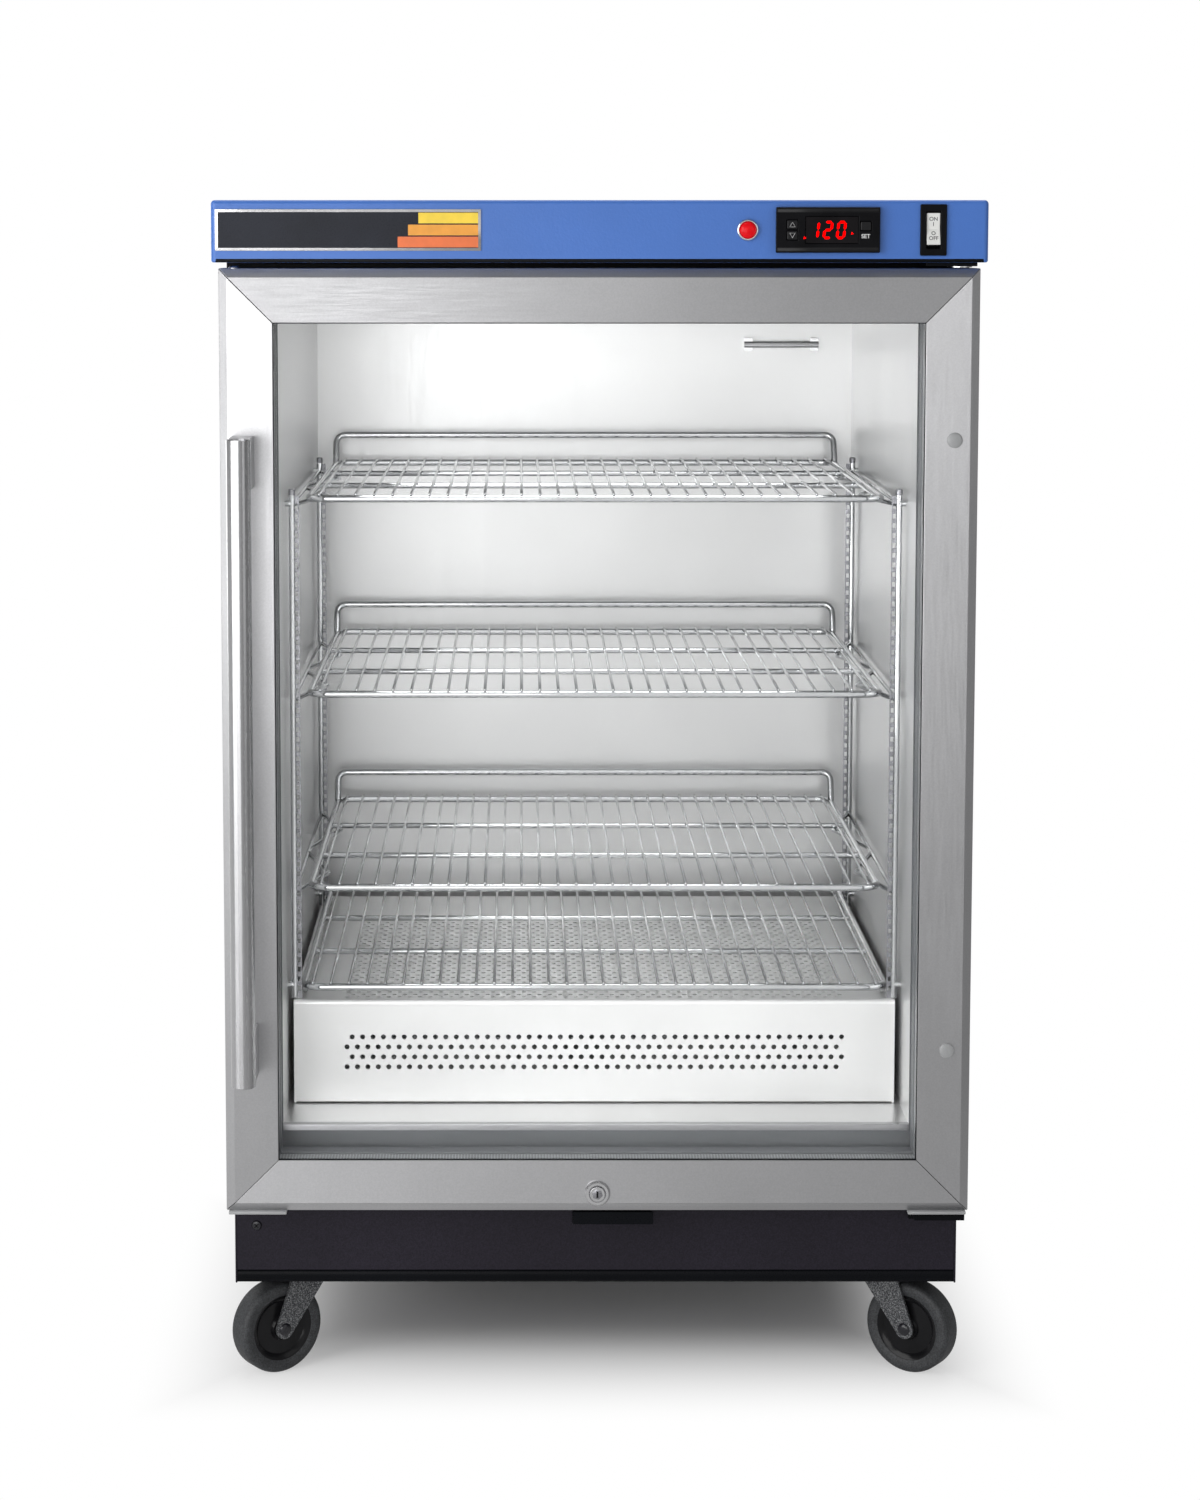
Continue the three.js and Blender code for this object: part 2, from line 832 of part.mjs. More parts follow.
// Holes for the hinge pins, the lock and the cover plugs, cut out of every rail that they meet.
function frameCuts() {
  const pinHole = hingePinDiameter / 2 + pinGap;
  const depth = hingePinDepth + pinGap + overcut;
  const topPin = cylinder("z", pinHole, doorTopZ - depth, doorTopZ + overcut, smallSides);
  const bottomPin = cylinder("z", pinHole, doorBottomZ - overcut, doorBottomZ + depth, smallSides);
  const barrelHole = lockBarrelDiameter / 2 + turnedGap;
  const barrel = cylinder("y", barrelHole, doorFrontY - overcut, lockBackY + turnedGap);
  const slot = block(
    -camWidth / 2 - camSlotGap,
    camLength + camSlotGap,
    camFrontY - camSlotGap,
    camBackY + camSlotGap,
    doorBottomZ - overcut,
    lockZ + camWidth / 2 + camSlotGap,
  );
  const stem = cylinder(
    "y",
    plugStemDiameter / 2 + turnedGap,
    doorFrontY - overcut,
    doorFrontY + plugStemLength + turnedGap,
    smallSides,
  );
  const plugX = doorWidth / 2 - plugInset;
  return [
    topPin.translate(hingeX, hingeY, 0),
    bottomPin.translate(hingeX, hingeY, 0),
    barrel.translate(0, 0, lockZ),
    slot,
    stem.translate(plugX, 0, doorBottomZ + plugLowRise),
    stem.translate(plugX, 0, doorBottomZ + plugHighRise),
  ];
}

function doorRails() {
  const across = mitredRail(doorWidth);
  const upright = mitredRail(doorHeight);
  const half = doorWidth / 2;
  const rails = {
    door_rail_top: across.translate(0, doorFrontY, doorTopZ),
    door_rail_bottom: across.rotate(0, 180, 0).translate(0, doorFrontY, doorBottomZ),
    door_stile_left: upright.rotate(0, -90, 0).translate(-half, doorFrontY, doorMiddleZ),
    door_stile_right: upright.rotate(0, 90, 0).translate(half, doorFrontY, doorMiddleZ),
  };
  const cuts = frameCuts();
  for (const name of Object.keys(rails)) {
    rails[name] = cuts.reduce((rail, cut) => rail.subtract(cut), rails[name]);
  }
  return rails;
}

// Glazing pack: two panes with a spacer, seated behind the frame's lip.
const paneInset = frameRebate + glassEdgeGap;
const outerPaneY = doorFrontY + frameLip;
const spacerY = outerPaneY + paneThickness;
const innerPaneY = spacerY + spacerDepth;
const glazingFrameY = innerPaneY + paneThickness;

function pane(y) {
  const half = doorWidth / 2 - paneInset;
  return block(-half, half, y, y + paneThickness, doorBottomZ + paneInset, doorTopZ - paneInset);
}

function glassSpacer() {
  const inset = paneInset + spacerEdge;
  const half = doorWidth / 2 - inset;
  return ring(half, doorBottomZ + inset, doorTopZ - inset, spacerHeight, spacerY, innerPaneY);
}

function glazingFrame() {
  const inset = frameRebate + turnedGap;
  const half = doorWidth / 2 - inset;
  return ring(half, doorBottomZ + inset, doorTopZ - inset, glazingFrameFace, glazingFrameY, doorRearY);
}

// Gasket: a base strip on the back of the door with a narrower bead that meets the cabinet.
function gasket() {
  const half = doorWidth / 2 - gasketInset;
  const low = doorBottomZ + gasketInset;
  const high = doorTopZ - gasketInset;
  const step = doorRearY + gasketThickness / 2;
  const base = ring(half, low, high, gasketWidth, doorRearY, step);
  const bead = ring(
    half - gasketLip,
    low + gasketLip,
    high - gasketLip,
    gasketWidth - 2 * gasketLip,
    step,
    shellFrontY - sealGap,
  );
  return base.add(bead);
}

// Handle: a round bar on two blocks that are hollowed to seat it.
const handleX = -doorWidth / 2 + handleInset;
const handleLowZ = doorBottomZ + handleRise;
const handleHighZ = handleLowZ + handleLength;

function handleBar() {
  return cylinder("z", handleDiameter / 2, handleLowZ, handleHighZ).translate(handleX, handleY, 0);
}

function handleBracket(z0) {
  const z1 = z0 + handleBracketHeight;
  const half = handleBracketWidth / 2;
  const arm = block(handleX - half, handleX + half, handleY, doorFrontY, z0, z1);
  const seat = cylinder("z", handleDiameter / 2 + turnedGap, z0 - overcut, z1 + overcut);
  return arm.subtract(seat.translate(handleX, handleY, 0));
}

function coverPlug(rise) {
  const profile = [
    ...domePoints(plugDiameter / 2, doorFrontY, plugHeadHeight),
    [plugStemDiameter / 2, doorFrontY],
    [plugStemDiameter / 2, doorFrontY + plugStemLength],
    [0, doorFrontY + plugStemLength],
  ];
  const plug = turned("y", profile, smallSides);
  return plug.translate(doorWidth / 2 - plugInset, 0, doorBottomZ + rise);
}

// Lock: a flanged barrel in the bottom rail; its plug turns a cam that drops below the door.
const lockFaceY = doorFrontY - lockFlangeHeight;

function lockBody() {
  const bore = lockPlugDiameter / 2 + turnedGap;
  const flange = lockFlangeDiameter / 2;
  const barrel = lockBarrelDiameter / 2;
  const profile = [
    [bore, lockFaceY],
    [flange - edgeBreak, lockFaceY],
    [flange, lockFaceY + edgeBreak],
    [flange, doorFrontY],
    [barrel, doorFrontY],
    [barrel, lockBackY],
    [bore, lockBackY],
    [bore, lockFaceY],
  ];
  return turned("y", profile, roundSides).translate(0, 0, lockZ);
}

function lockPlug() {
  const plug = cylinder("y", lockPlugDiameter / 2, lockFaceY - lockPlugProud, lockBackY);
  const shaft = cylinder("y", lockShaftDiameter / 2, lockBackY, camBackY, smallSides);
  const cam = block(0, camLength, camFrontY, camBackY, -camWidth / 2, camWidth / 2);
  return join(plug, shaft, cam).translate(0, 0, lockZ);
}

// Strike: a tray under the door, screwed to the plinth, whose front lip stops the cam.
function lockStrike() {
  const x0 = strikeShift - strikeWidth / 2;
  const x1 = strikeShift + strikeWidth / 2;
  const floorTop = doorBottomZ - strikeFloorDrop;
  const floorBottom = floorTop - strikeThickness;
  const lipBackY = camFrontY - strikeLipReach / 2;
  const lipFrontY = lipBackY - strikeThickness;
  const floor = block(x0, x1, lipFrontY, shellFrontY, floorBottom, floorTop);
  const lip = block(x0, x1, lipFrontY, lipBackY, floorBottom, doorBottomZ - strikeLipClear);
  const flangeY = shellFrontY - strikeThickness;
  const flange = block(x0, x1, flangeY, shellFrontY, floorTop - strikeFlangeHeight, floorTop);
  return join(floor, lip, flange);
}

// Hinges: plates fixed to the cabinet, each with a pin into the door. The lower pin's collar carries it.
const hingePlateFrontY = hingeY - hingePlateReach;
const hingePlateX1 = hingeX + hingePlateReach;
const hingePlateX0 = hingePlateX1 - hingePlateWidth;

function topHinge() {
  const bottom = lidBottomZ - hingePlateThickness;
  const plate = block(hingePlateX0, hingePlateX1, hingePlateFrontY, shellFrontY, bottom, lidBottomZ);
  const pin = cylinder("z", hingePinDiameter / 2, doorTopZ - hingePinDepth, bottom, smallSides);
  return plate.add(pin.translate(hingeX, hingeY, 0));
}

function bottomHinge() {
  const collarTop = doorBottomZ - turnedGap;
  const plateTop = doorBottomZ - lidGap;
  const plateBottom = plateTop - bottomHingeThickness;
  const plate = block(hingePlateX0, hingePlateX1, hingePlateFrontY, shellFrontY, plateBottom, plateTop);
  const flange = block(
    hingePlateX0,
    hingePlateX1,
    shellFrontY - bottomHingeThickness,
    shellFrontY,
    plateTop - hingeFlangeHeight,
    plateTop,
  );
  const collar = cylinder("z", hingeCollarDiameter / 2, plateTop, collarTop, smallSides);
  const pin = cylinder("z", hingePinDiameter / 2, plateTop, doorBottomZ + hingePinDepth, smallSides);
  return join(plate, flange, collar.add(pin).translate(hingeX, hingeY, 0));
}

// Heater cover: a folded sheet over the heater, open below and behind.
function heaterCover() {
  const half = heaterWidth / 2;
  const rear = heaterFrontY + heaterDepth;
  const outer = block(-half, half, heaterFrontY, rear, chamberFloorZ, heaterTopZ);
  const inner = block(
    -half + heaterWall,
    half - heaterWall,
    heaterFrontY + heaterWall,
    rear + overcut,
    chamberFloorZ - overcut,
    heaterTopZ - heaterWall,
  );
  return outer.subtract(inner);
}

// The hairpin that a tubular heating element follows: out along one leg, round, and back.
class Hairpin extends THREE.Curve {
  getPoint(t) {
    const bend = elementSpacing / 2;
    const straight = 2 * elementReach;
    const round = Math.PI * bend;
    const run = t * (2 * straight + round);
    if (run < straight) return new THREE.Vector3(run - elementReach, -bend, 0);
    if (run > straight + round) {
      return new THREE.Vector3(elementReach - (run - straight - round), bend, 0);
    }
    const angle = (run - straight) / bend - Math.PI / 2;
    return new THREE.Vector3(elementReach + bend * Math.cos(angle), bend * Math.sin(angle), 0);
  }
}

function heatingElement() {
  const section = new THREE.Shape();
  for (let i = 0; i < tubeSides; i++) {
    const angle = (2 * Math.PI * i) / tubeSides;
    const point = [elementRadius * Math.cos(angle), elementRadius * Math.sin(angle)];
    if (i === 0) section.moveTo(...point);
    else section.lineTo(...point);
  }
  const tube = solidOf(
    new THREE.ExtrudeGeometry(section, { steps: tubeSteps, extrudePath: new Hairpin() }),
  );
  const middleY = heaterFrontY + elementSetback;
  const middleZ = chamberFloorZ + elementRise;
  const halfSpan = elementSpacing / 2 + elementPostWidth;
  let element = tube.translate(0, middleY, middleZ);
  const terminal = block(
    -elementReach - terminalWidth,
    -elementReach + elementRadius,
    middleY - halfSpan,
    middleY + halfSpan,
    chamberFloorZ,
    middleZ + elementPostWidth,
  );
  const post = block(
    elementReach - elementPostWidth,
    elementReach,
    middleY - halfSpan,
    middleY + halfSpan,
    chamberFloorZ,
    middleZ,
  );
  element = join(element, terminal, post);
  return element;
}

// Fan: a motor on a foot, and an impeller on its shaft.
const fanY = heaterFrontY + fanSetback;
const fanZ = chamberFloorZ + fanRise;
const impellerBackY = fanY - fanGap;
const impellerFrontY = impellerBackY - fanDepth;

function fanMotor() {
  const can = cylinder("y", motorRadius, fanY, fanY + motorLength);
  const shaft = cylinder("y", motorShaftRadius, impellerFrontY, fanY, smallSides);
  const foot = slab(0, 0, motorFootWidth, motorFootThickness, fanY, fanY + motorLength);
  const post = block(-motorPostWidth / 2, motorPostWidth / 2, fanY, fanY + motorLength, -fanRise, 0);
  const seatedFoot = foot.translate(0, 0, -fanRise + motorFootThickness / 2);
  return join(can, shaft, post, seatedFoot).translate(0, 0, fanZ);
}

function fanImpeller() {
  const bore = motorShaftRadius + turnedGap;
  const hubProfile = [
    [bore, impellerFrontY],
    [fanHubRadius, impellerFrontY],
    [fanHubRadius, impellerBackY],
    [bore, impellerBackY],
    [bore, impellerFrontY],
  ];
  let impeller = turned("y", hubProfile, smallSides);
  const bladeRoot = (bore + fanHubRadius) / 2;
  const halfChord = fanBladeChord / 2;
  for (let i = 0; i < fanBladeCount; i++) {
    const blade = block(
      -halfChord,
      halfChord,
      -fanBladeThickness / 2,
      fanBladeThickness / 2,
      bladeRoot,
      fanRadius,
    );
    const pitched = blade.rotate(0, 0, fanBladePitch);
    const placed = pitched.translate(0, (impellerFrontY + impellerBackY) / 2, 0);
    impeller = impeller.add(placed.rotate(0, (360 / fanBladeCount) * i, 0));
  }
  return impeller.translate(0, 0, fanZ);
}

// A wire grid: a frame of rail wire, cross wires, and thin wires from front to back lying on them.
// z is the top of the rails.
function wireGrid(width, frontY, depth, z, crossWires) {
  const half = width / 2;
  const rearEdgeY = frontY + depth;
  const low = z - railWire;
  const crossTop = z - gridSink - turnedGap;
  let grid = flatRing(half, frontY, rearEdgeY, railWire, low, z);
  for (let i = 1; i <= crossWires; i++) {
    const y = frontY + (depth * i) / (crossWires + 1);
    const crossHalf = half - weldSink;
    const cross = block(-crossHalf, crossHalf, y - railWire / 2, y + railWire / 2, low, crossTop);
    grid = grid.add(cross);
  }
  const count = Math.floor((width - 2 * railWire) / gridPitch);
  const first = (-(count - 1) / 2) * gridPitch;
  for (let i = 0; i < count; i++) {
    const x = first + i * gridPitch;
    const thin = block(
      x - gridWire / 2,
      x + gridWire / 2,
      frontY + gridEndInset,
      rearEdgeY - gridEndInset,
      z - gridSink,
      z - gridSink + gridWire,
    );
    grid = grid.add(thin);
  }
  return grid;
}

// A flat ring with a square-cornered outline in X and Y.
function flatRing(halfWidth, y0, y1, face, z0, z1) {
  const outer = block(-halfWidth, halfWidth, y0, y1, z0, z1);
  const halfInner = halfWidth - face;
  const inner = block(-halfInner, halfInner, y0 + face, y1 - face, z0 - overcut, z1 + overcut);
  return outer.subtract(inner);
}

// Shelf: a wire grid with a raised bar along its back.
function shelf(z) {
  const half = shelfWidth / 2;
  const rear = heaterFrontY + shelfDepth;
  const top = z + shelfBackRise;
  const grid = wireGrid(shelfWidth, heaterFrontY, shelfDepth, z, shelfCrossWires);
  const bar = block(-half, half, rear - railWire, rear, top - railWire, top);
  const left = block(-half, -half + railWire, rear - railWire, rear, z - weldSink, top);
  const right = block(half - railWire, half, rear - railWire, rear, z - weldSink, top);
  return join(grid, bar, left, right);
}

// Bottom rack: a wire grid on four short feet that stand on the heater cover.
function bottomRack() {
  const half = rackWidth / 2;
  const z = heaterTopZ + rackFootHeight + railWire;
  let rack = wireGrid(rackWidth, heaterFrontY, rackDepth, z, rackCrossWires);
  for (const x of [-half, half - railWire]) {
    for (const y of [heaterFrontY, heaterFrontY + rackDepth - railWire]) {
      rack = rack.add(block(x, x + railWire, y, y + railWire, heaterTopZ, z - weldSink));
    }
  }
  return rack;
}

const shelfLevels = [];
for (let i = 0; i < shelfCount; i++) shelfLevels.push(heaterTopZ + shelfLowRise + i * shelfPitch);

// Ladder: front and rear uprights pegged to the liner, with a tie and two bent clips under each shelf.
function ladder(side) {
  const half = ladderWire / 2;
  const wallX = (side * chamberWidth) / 2;
  const x = wallX - side * (ladderWallGap + half);
  const frontY = shellFrontY + ladderFrontSetback;
  const rearUprightY = shellFrontY + ladderRearSetback;
  const top = shelfLevels[shelfCount - 1] + ladderTopRise;
  let whole = null;
  const grow = (solid) => {
    whole = whole ? whole.add(solid) : solid;
  };
  for (const y of [frontY, rearUprightY]) {
    grow(block(x - half, x + half, y - half, y + half, heaterTopZ, top));
    for (const z of [heaterTopZ + ladderPegInset, top - ladderPegInset]) {
      grow(block(Math.min(x, wallX), Math.max(x, wallX), y - half, y + half, z - half, z + half));
    }
  }
  for (const level of shelfLevels) {
    const z = level - railWire - clipWire / 2;
    grow(block(x - half, x + half, frontY, rearUprightY, z - clipWire / 2, z + clipWire / 2));
    const inner = x - side * clipReach;
    grow(wire([x, frontY, z], [inner, frontY + clipRun, z], clipWire));
    grow(wire([x, frontY + 2 * clipRun, z], [inner, frontY + clipRun, z], clipWire));
    grow(wire([x, rearUprightY, z], [inner, rearUprightY - clipRun, z], clipWire));
    grow(wire([x, rearUprightY - 2 * clipRun, z], [inner, rearUprightY - clipRun, z], clipWire));
  }
  return whole;
}

// Temperature probe: a bulb held off the liner's rear wall by two clips.
function temperatureProbe() {
  const z = chamberTopZ - probeDrop;
  const y = chamberRearY - probeClip;
  const bulb = cylinder("x", probeDiameter / 2, probePlace, probePlace + probeLength, smallSides);
  const clipEnd = probePlace + probeClip;
  const clipA = block(probePlace, clipEnd, y, chamberRearY, z - probeDiameter, z + probeDiameter);
  const clipB = clipA.translate(probeLength - probeClip, 0, 0);
  return join(bulb.translate(0, y, z), clipA, clipB);
}

// Casters, each built about its swivel axis with the wheel trailing along +X.
const axleZ = wheelDiameter / 2;
const forkInnerY = wheelWidth / 2 + wheelSideGap;
const crownTopZ = casterHeight - casterPlateThickness - racewayHeight - turnedGap;
const crownBottomZ = crownTopZ - crownThickness;

function casterPlate() {
  const half = casterPlateSize / 2;
  const bottom = casterHeight - casterPlateThickness;
  const plate = block(-half, half, -half, half, bottom, casterHeight);
  const raceway = cylinder("z", racewayDiameter / 2, bottom - racewayHeight, bottom);
  const kingpin = cylinder("z", kingpinDiameter / 2, crownBottomZ, bottom, smallSides);
  return join(plate, raceway, kingpin);
}

function casterFork() {
  const pinHole = kingpinDiameter / 2 + pinGap;
  const crown = cylinder("z", crownDiameter / 2, crownBottomZ, crownTopZ);
  const side = new THREE.Shape();
  const topHalf = forkTopWidth / 2;
  side.moveTo(-topHalf, crownBottomZ + weldSink);
  side.lineTo(-topHalf, crownBottomZ - forkEndRadius);
  const endFrom = THREE.MathUtils.degToRad(forkEndFrom);
  const endTo = THREE.MathUtils.degToRad(forkEndTo);
  side.absarc(casterTrail, axleZ, forkEndRadius, endFrom, endTo, false);
  side.lineTo(topHalf, crownBottomZ + weldSink);
  const geometry = new THREE.ExtrudeGeometry(side, {
    depth: forkThickness,
    bevelEnabled: false,
    curveSegments: arcSteps,
  });
  geometry.rotateX(Math.PI / 2);
  const cheek = solidOf(geometry);
  const reach = forkInnerY + forkThickness;
  const axle = cylinder("y", axleDiameter / 2, -reach, reach, smallSides);
  const rivet = turned(
    "y",
    [
      [0, reach],
      [rivetDiameter / 2, reach],
      [rivetDiameter / 4, reach + rivetHeight],
      [0, reach + rivetHeight],
    ],
    smallSides,
  );
  const otherRivet = rivet.mirror([0, 1, 0]);
  const pins = join(axle, rivet, otherRivet).translate(casterTrail, 0, axleZ);
  const right = cheek.translate(0, -forkInnerY, 0);
  const left = cheek.translate(0, reach, 0);
  const bore = cylinder("z", pinHole, crownBottomZ - overcut, crownTopZ + overcut, smallSides);
  return join(crown, right, left, pins).subtract(bore);
}

// Wheel: a tyre with rounded shoulders on a dished hub.
function casterWheel() {
  const bore = axleDiameter / 2 + pinGap;
  const half = wheelWidth / 2;
  const radius = wheelDiameter / 2;
  const dish = half - hubDish;
  const profile = [
    [bore, -dish],
    [hubDiameter / 2, -dish],
    [hubDiameter / 2, -half],
    [radius - tyreShoulder, -half],
    [radius, -half + tyreShoulder],
    [radius, half - tyreShoulder],
    [radius - tyreShoulder, half],
    [hubDiameter / 2, half],
    [hubDiameter / 2, dish],
    [bore, dish],
    [bore, -dish],
  ];
  return turned("y", profile, wheelSides).translate(casterTrail, 0, axleZ);
}

// The assembly
add(cabinet, "outer_shell", outerShell(), blackPaint);
add(cabinet, "inner_liner", innerLiner(), stainless);
add(cabinet, "insulation", insulation(), foam);
add(cabinet, "plinth_panel", plinthPanel(), blackPaint);
add(cabinet, "base_pan", basePan(), blackPaint);
add(cabinet, "rear_cover", rearCover(), blackPaint);
add(cabinet, "power_inlet", powerInlet(), blackPlastic);
add(cabinet, "lid", lid(), bluePaint);
add(cabinet, "nameplate", nameplate(), satinFrame);
add(cabinet, "lamp_bezel", lampBezel(), platedSteel);
add(cabinet, "lamp_lens", lampLens(), redPlastic);
add(cabinet, "controller_case", controllerCase(), blackPlastic);
add(cabinet, "display_window", displayWindow(), smokedWindow);
for (const [name, place] of Object.entries(keyPlaces)) {
  add(cabinet, name, controllerKey(place), blackPlastic);
}
add(cabinet, "switch_bezel", switchBezel(), blackPlastic);
add(cabinet, "switch_rocker", switchRocker(), whitePlastic);
add(cabinet, "top_hinge", topHinge(), blackPaint);
add(cabinet, "bottom_hinge", bottomHinge(), blackPaint);
add(cabinet, "lock_strike", lockStrike(), blackPaint);

for (const [name, rail] of Object.entries(doorRails())) add(cabinet, name, rail, satinFrame);
add(cabinet, "outer_glass", pane(outerPaneY), clearGlass);
add(cabinet, "inner_glass", pane(innerPaneY), clearGlass);
add(cabinet, "glass_spacer", glassSpacer(), satinFrame);
add(cabinet, "glazing_frame", glazingFrame(), greyPlastic);
add(cabinet, "door_gasket", gasket(), greyRubber);
add(cabinet, "handle_bar", handleBar(), platedSteel);
add(cabinet, "handle_bracket_top", handleBracket(handleHighZ - handleBracketHeight), satinFrame);
add(cabinet, "handle_bracket_bottom", handleBracket(handleLowZ), satinFrame);
add(cabinet, "cover_plug_top", coverPlug(plugHighRise), greyPlastic);
add(cabinet, "cover_plug_bottom", coverPlug(plugLowRise), greyPlastic);
add(cabinet, "lock_body", lockBody(), platedSteel);
add(cabinet, "lock_plug", lockPlug(), platedSteel);

add(cabinet, "heater_cover", heaterCover(), stainless);
add(cabinet, "heating_element", heatingElement(), motorSteel);
add(cabinet, "fan_motor", fanMotor(), motorSteel);
add(cabinet, "fan_impeller", fanImpeller(), blackPlastic);
add(cabinet, "temperature_probe", temperatureProbe(), platedSteel);
add(cabinet, "ladder_left", ladder(-1), brightWire);
add(cabinet, "ladder_right", ladder(1), brightWire);
shelfLevels.forEach((level, i) => add(cabinet, `shelf_${i + 1}`, shelf(level), brightWire));
add(cabinet, "bottom_rack", bottomRack(), brightWire);

const casterX = shellWidth / 2 - casterInset;
const casterCorners = {
  front_left: [-casterX, shellFrontY + casterInset, 180 + casterTurn],
  front_right: [casterX, shellFrontY + casterInset, -casterTurn],
  rear_left: [-casterX, shellRearY - casterInset, 180 + casterTurn],
  rear_right: [casterX, shellRearY - casterInset, -casterTurn],
};
for (const [corner, [x, y, turn]] of Object.entries(casterCorners)) {
  const fixed = new THREE.Group();
  fixed.position.set(x, y, 0);
  add(fixed, `caster_plate_${corner}`, casterPlate(), blackPaint);
  const swivel = new THREE.Group();
  swivel.rotation.z = THREE.MathUtils.degToRad(turn);
  add(swivel, `caster_fork_${corner}`, casterFork(), blackPaint);
  add(swivel, `caster_wheel_${corner}`, casterWheel(), wheelRubber);
  fixed.add(swivel);
  cabinet.add(fixed);
}

export default cabinet;
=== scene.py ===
# Looks of the blanket warming cabinet: finishes, round wires, perforated cover, casters and small parts.
# Metres, +Z up, the door faces -Y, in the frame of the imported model.
import json
import math

import bmesh
import bpy
from mathutils import Matrix, Vector
from mathutils.bvhtree import BVHTree
from mathutils.geometry import delaunay_2d_cdt


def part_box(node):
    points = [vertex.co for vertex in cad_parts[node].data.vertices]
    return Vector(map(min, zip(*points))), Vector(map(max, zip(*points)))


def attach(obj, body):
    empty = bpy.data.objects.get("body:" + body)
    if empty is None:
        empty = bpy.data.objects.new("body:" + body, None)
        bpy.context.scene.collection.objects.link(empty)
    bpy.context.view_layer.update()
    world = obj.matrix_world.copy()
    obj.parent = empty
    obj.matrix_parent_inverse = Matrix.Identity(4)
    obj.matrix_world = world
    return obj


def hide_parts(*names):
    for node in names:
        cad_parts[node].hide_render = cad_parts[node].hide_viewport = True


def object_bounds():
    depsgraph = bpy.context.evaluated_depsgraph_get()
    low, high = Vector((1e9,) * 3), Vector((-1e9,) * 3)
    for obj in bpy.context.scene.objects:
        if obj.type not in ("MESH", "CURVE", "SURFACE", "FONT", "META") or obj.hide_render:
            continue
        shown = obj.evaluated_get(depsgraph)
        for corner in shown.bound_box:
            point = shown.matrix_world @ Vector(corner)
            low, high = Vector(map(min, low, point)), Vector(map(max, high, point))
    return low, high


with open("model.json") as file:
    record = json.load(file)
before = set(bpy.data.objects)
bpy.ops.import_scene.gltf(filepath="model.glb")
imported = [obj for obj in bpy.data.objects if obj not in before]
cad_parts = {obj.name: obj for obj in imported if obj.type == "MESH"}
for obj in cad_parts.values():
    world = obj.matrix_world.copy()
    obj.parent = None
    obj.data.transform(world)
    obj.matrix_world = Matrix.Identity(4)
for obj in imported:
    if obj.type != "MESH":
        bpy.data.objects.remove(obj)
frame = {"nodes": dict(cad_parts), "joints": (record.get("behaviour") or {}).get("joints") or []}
cad_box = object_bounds()
nodes = frame["nodes"]
joints = {joint["name"]: joint for joint in frame["joints"]}
MM = 0.001
FRONT = Vector((0, -1, 0))
BACK = Vector((0, 1, 0))
UP = Vector((0, 0, 1))
ACROSS = Vector((1, 0, 0))
CORNERS = ("front_left", "front_right", "rear_left", "rear_right")
SHELVES = ("shelf_1", "shelf_2", "shelf_3")


def mm(*sizes):
    """Millimetres as metres."""
    return [size * MM for size in sizes]


# Materials

SPECK_SIZE = 0.0012
NOISE_SPAN = (0.3, 0.7)
BRUSH_X = (0.02, 1, 1)
BRUSH_Z = (1, 1, 0.02)
WHITE = (1, 1, 1, 1)


class Shader:
    """Adds nodes to the tree of a material or a world and links them."""

    def __init__(self, owner):
        owner.use_nodes = True
        self.owner = owner
        self.tree = owner.node_tree

    def put(self, node, inputs):
        for key, value in inputs.items():
            if isinstance(value, bpy.types.NodeSocket):
                self.tree.links.new(value, node.inputs[key])
            else:
                node.inputs[key].default_value = value

    def node(self, kind, inputs, **settings):
        """Adds a node and gives back its outputs."""
        made = self.tree.nodes.new("ShaderNode" + kind)
        for key, value in settings.items():
            setattr(made, key, value)
        self.put(made, inputs)
        return made.outputs

    def place(self):
        return self.node("TexCoord", {})["Object"]

    def noise(self, place, scale, detail=2.0):
        return self.node("TexNoise", {"Vector": place, "Scale": scale, "Detail": detail})["Fac"]

    def relief(self, height, strength, distance):
        return self.node("Bump", {"Height": height, "Strength": strength, "Distance": distance})["Normal"]

    def maths(self, operation, *values, **settings):
        return self.node("Math", dict(enumerate(values)), operation=operation, **settings)[0]

    def ranged(self, value, span, results, **settings):
        """Runs from the first result to the second as a value crosses a span."""
        inputs = {"Value": value, "From Min": span[0], "From Max": span[1]}
        inputs.update({"To Min": results[0], "To Max": results[1]})
        return self.node("MapRange", inputs, **settings)["Result"]

    def two_tone(self, factor, low, high, span=(0.35, 0.65)):
        """A colour that runs from low to high as the factor crosses the span."""
        colour = self.node("ValToRGB", {"Fac": factor})["Color"]
        for element, place, tone in zip(colour.node.color_ramp.elements, span, (low, high)):
            element.position = place
            element.color = (*tone, 1)
        return colour

    def mix(self, factor, other):
        """Lets another shader take the main surface's place where the factor says so."""
        main = self.tree.nodes["Principled BSDF"].outputs["BSDF"]
        mixed = self.node("MixShader", {"Fac": factor, 1: main, 2: other})["Shader"]
        self.put(self.tree.nodes["Material Output"], {"Surface": mixed})

    def paint(self, **inputs):
        """Sets the main surface's sockets, with underscores for spaces, and gives back the material."""
        named = {key.replace("_", " "): value for key, value in inputs.items()}
        self.put(self.tree.nodes["Principled BSDF"], named)
        return self.owner


def new_shader(name):
    return Shader(bpy.data.materials.new(name))


def shade(colour, amount):
    return tuple(min(1.0, channel * amount) for channel in colour)


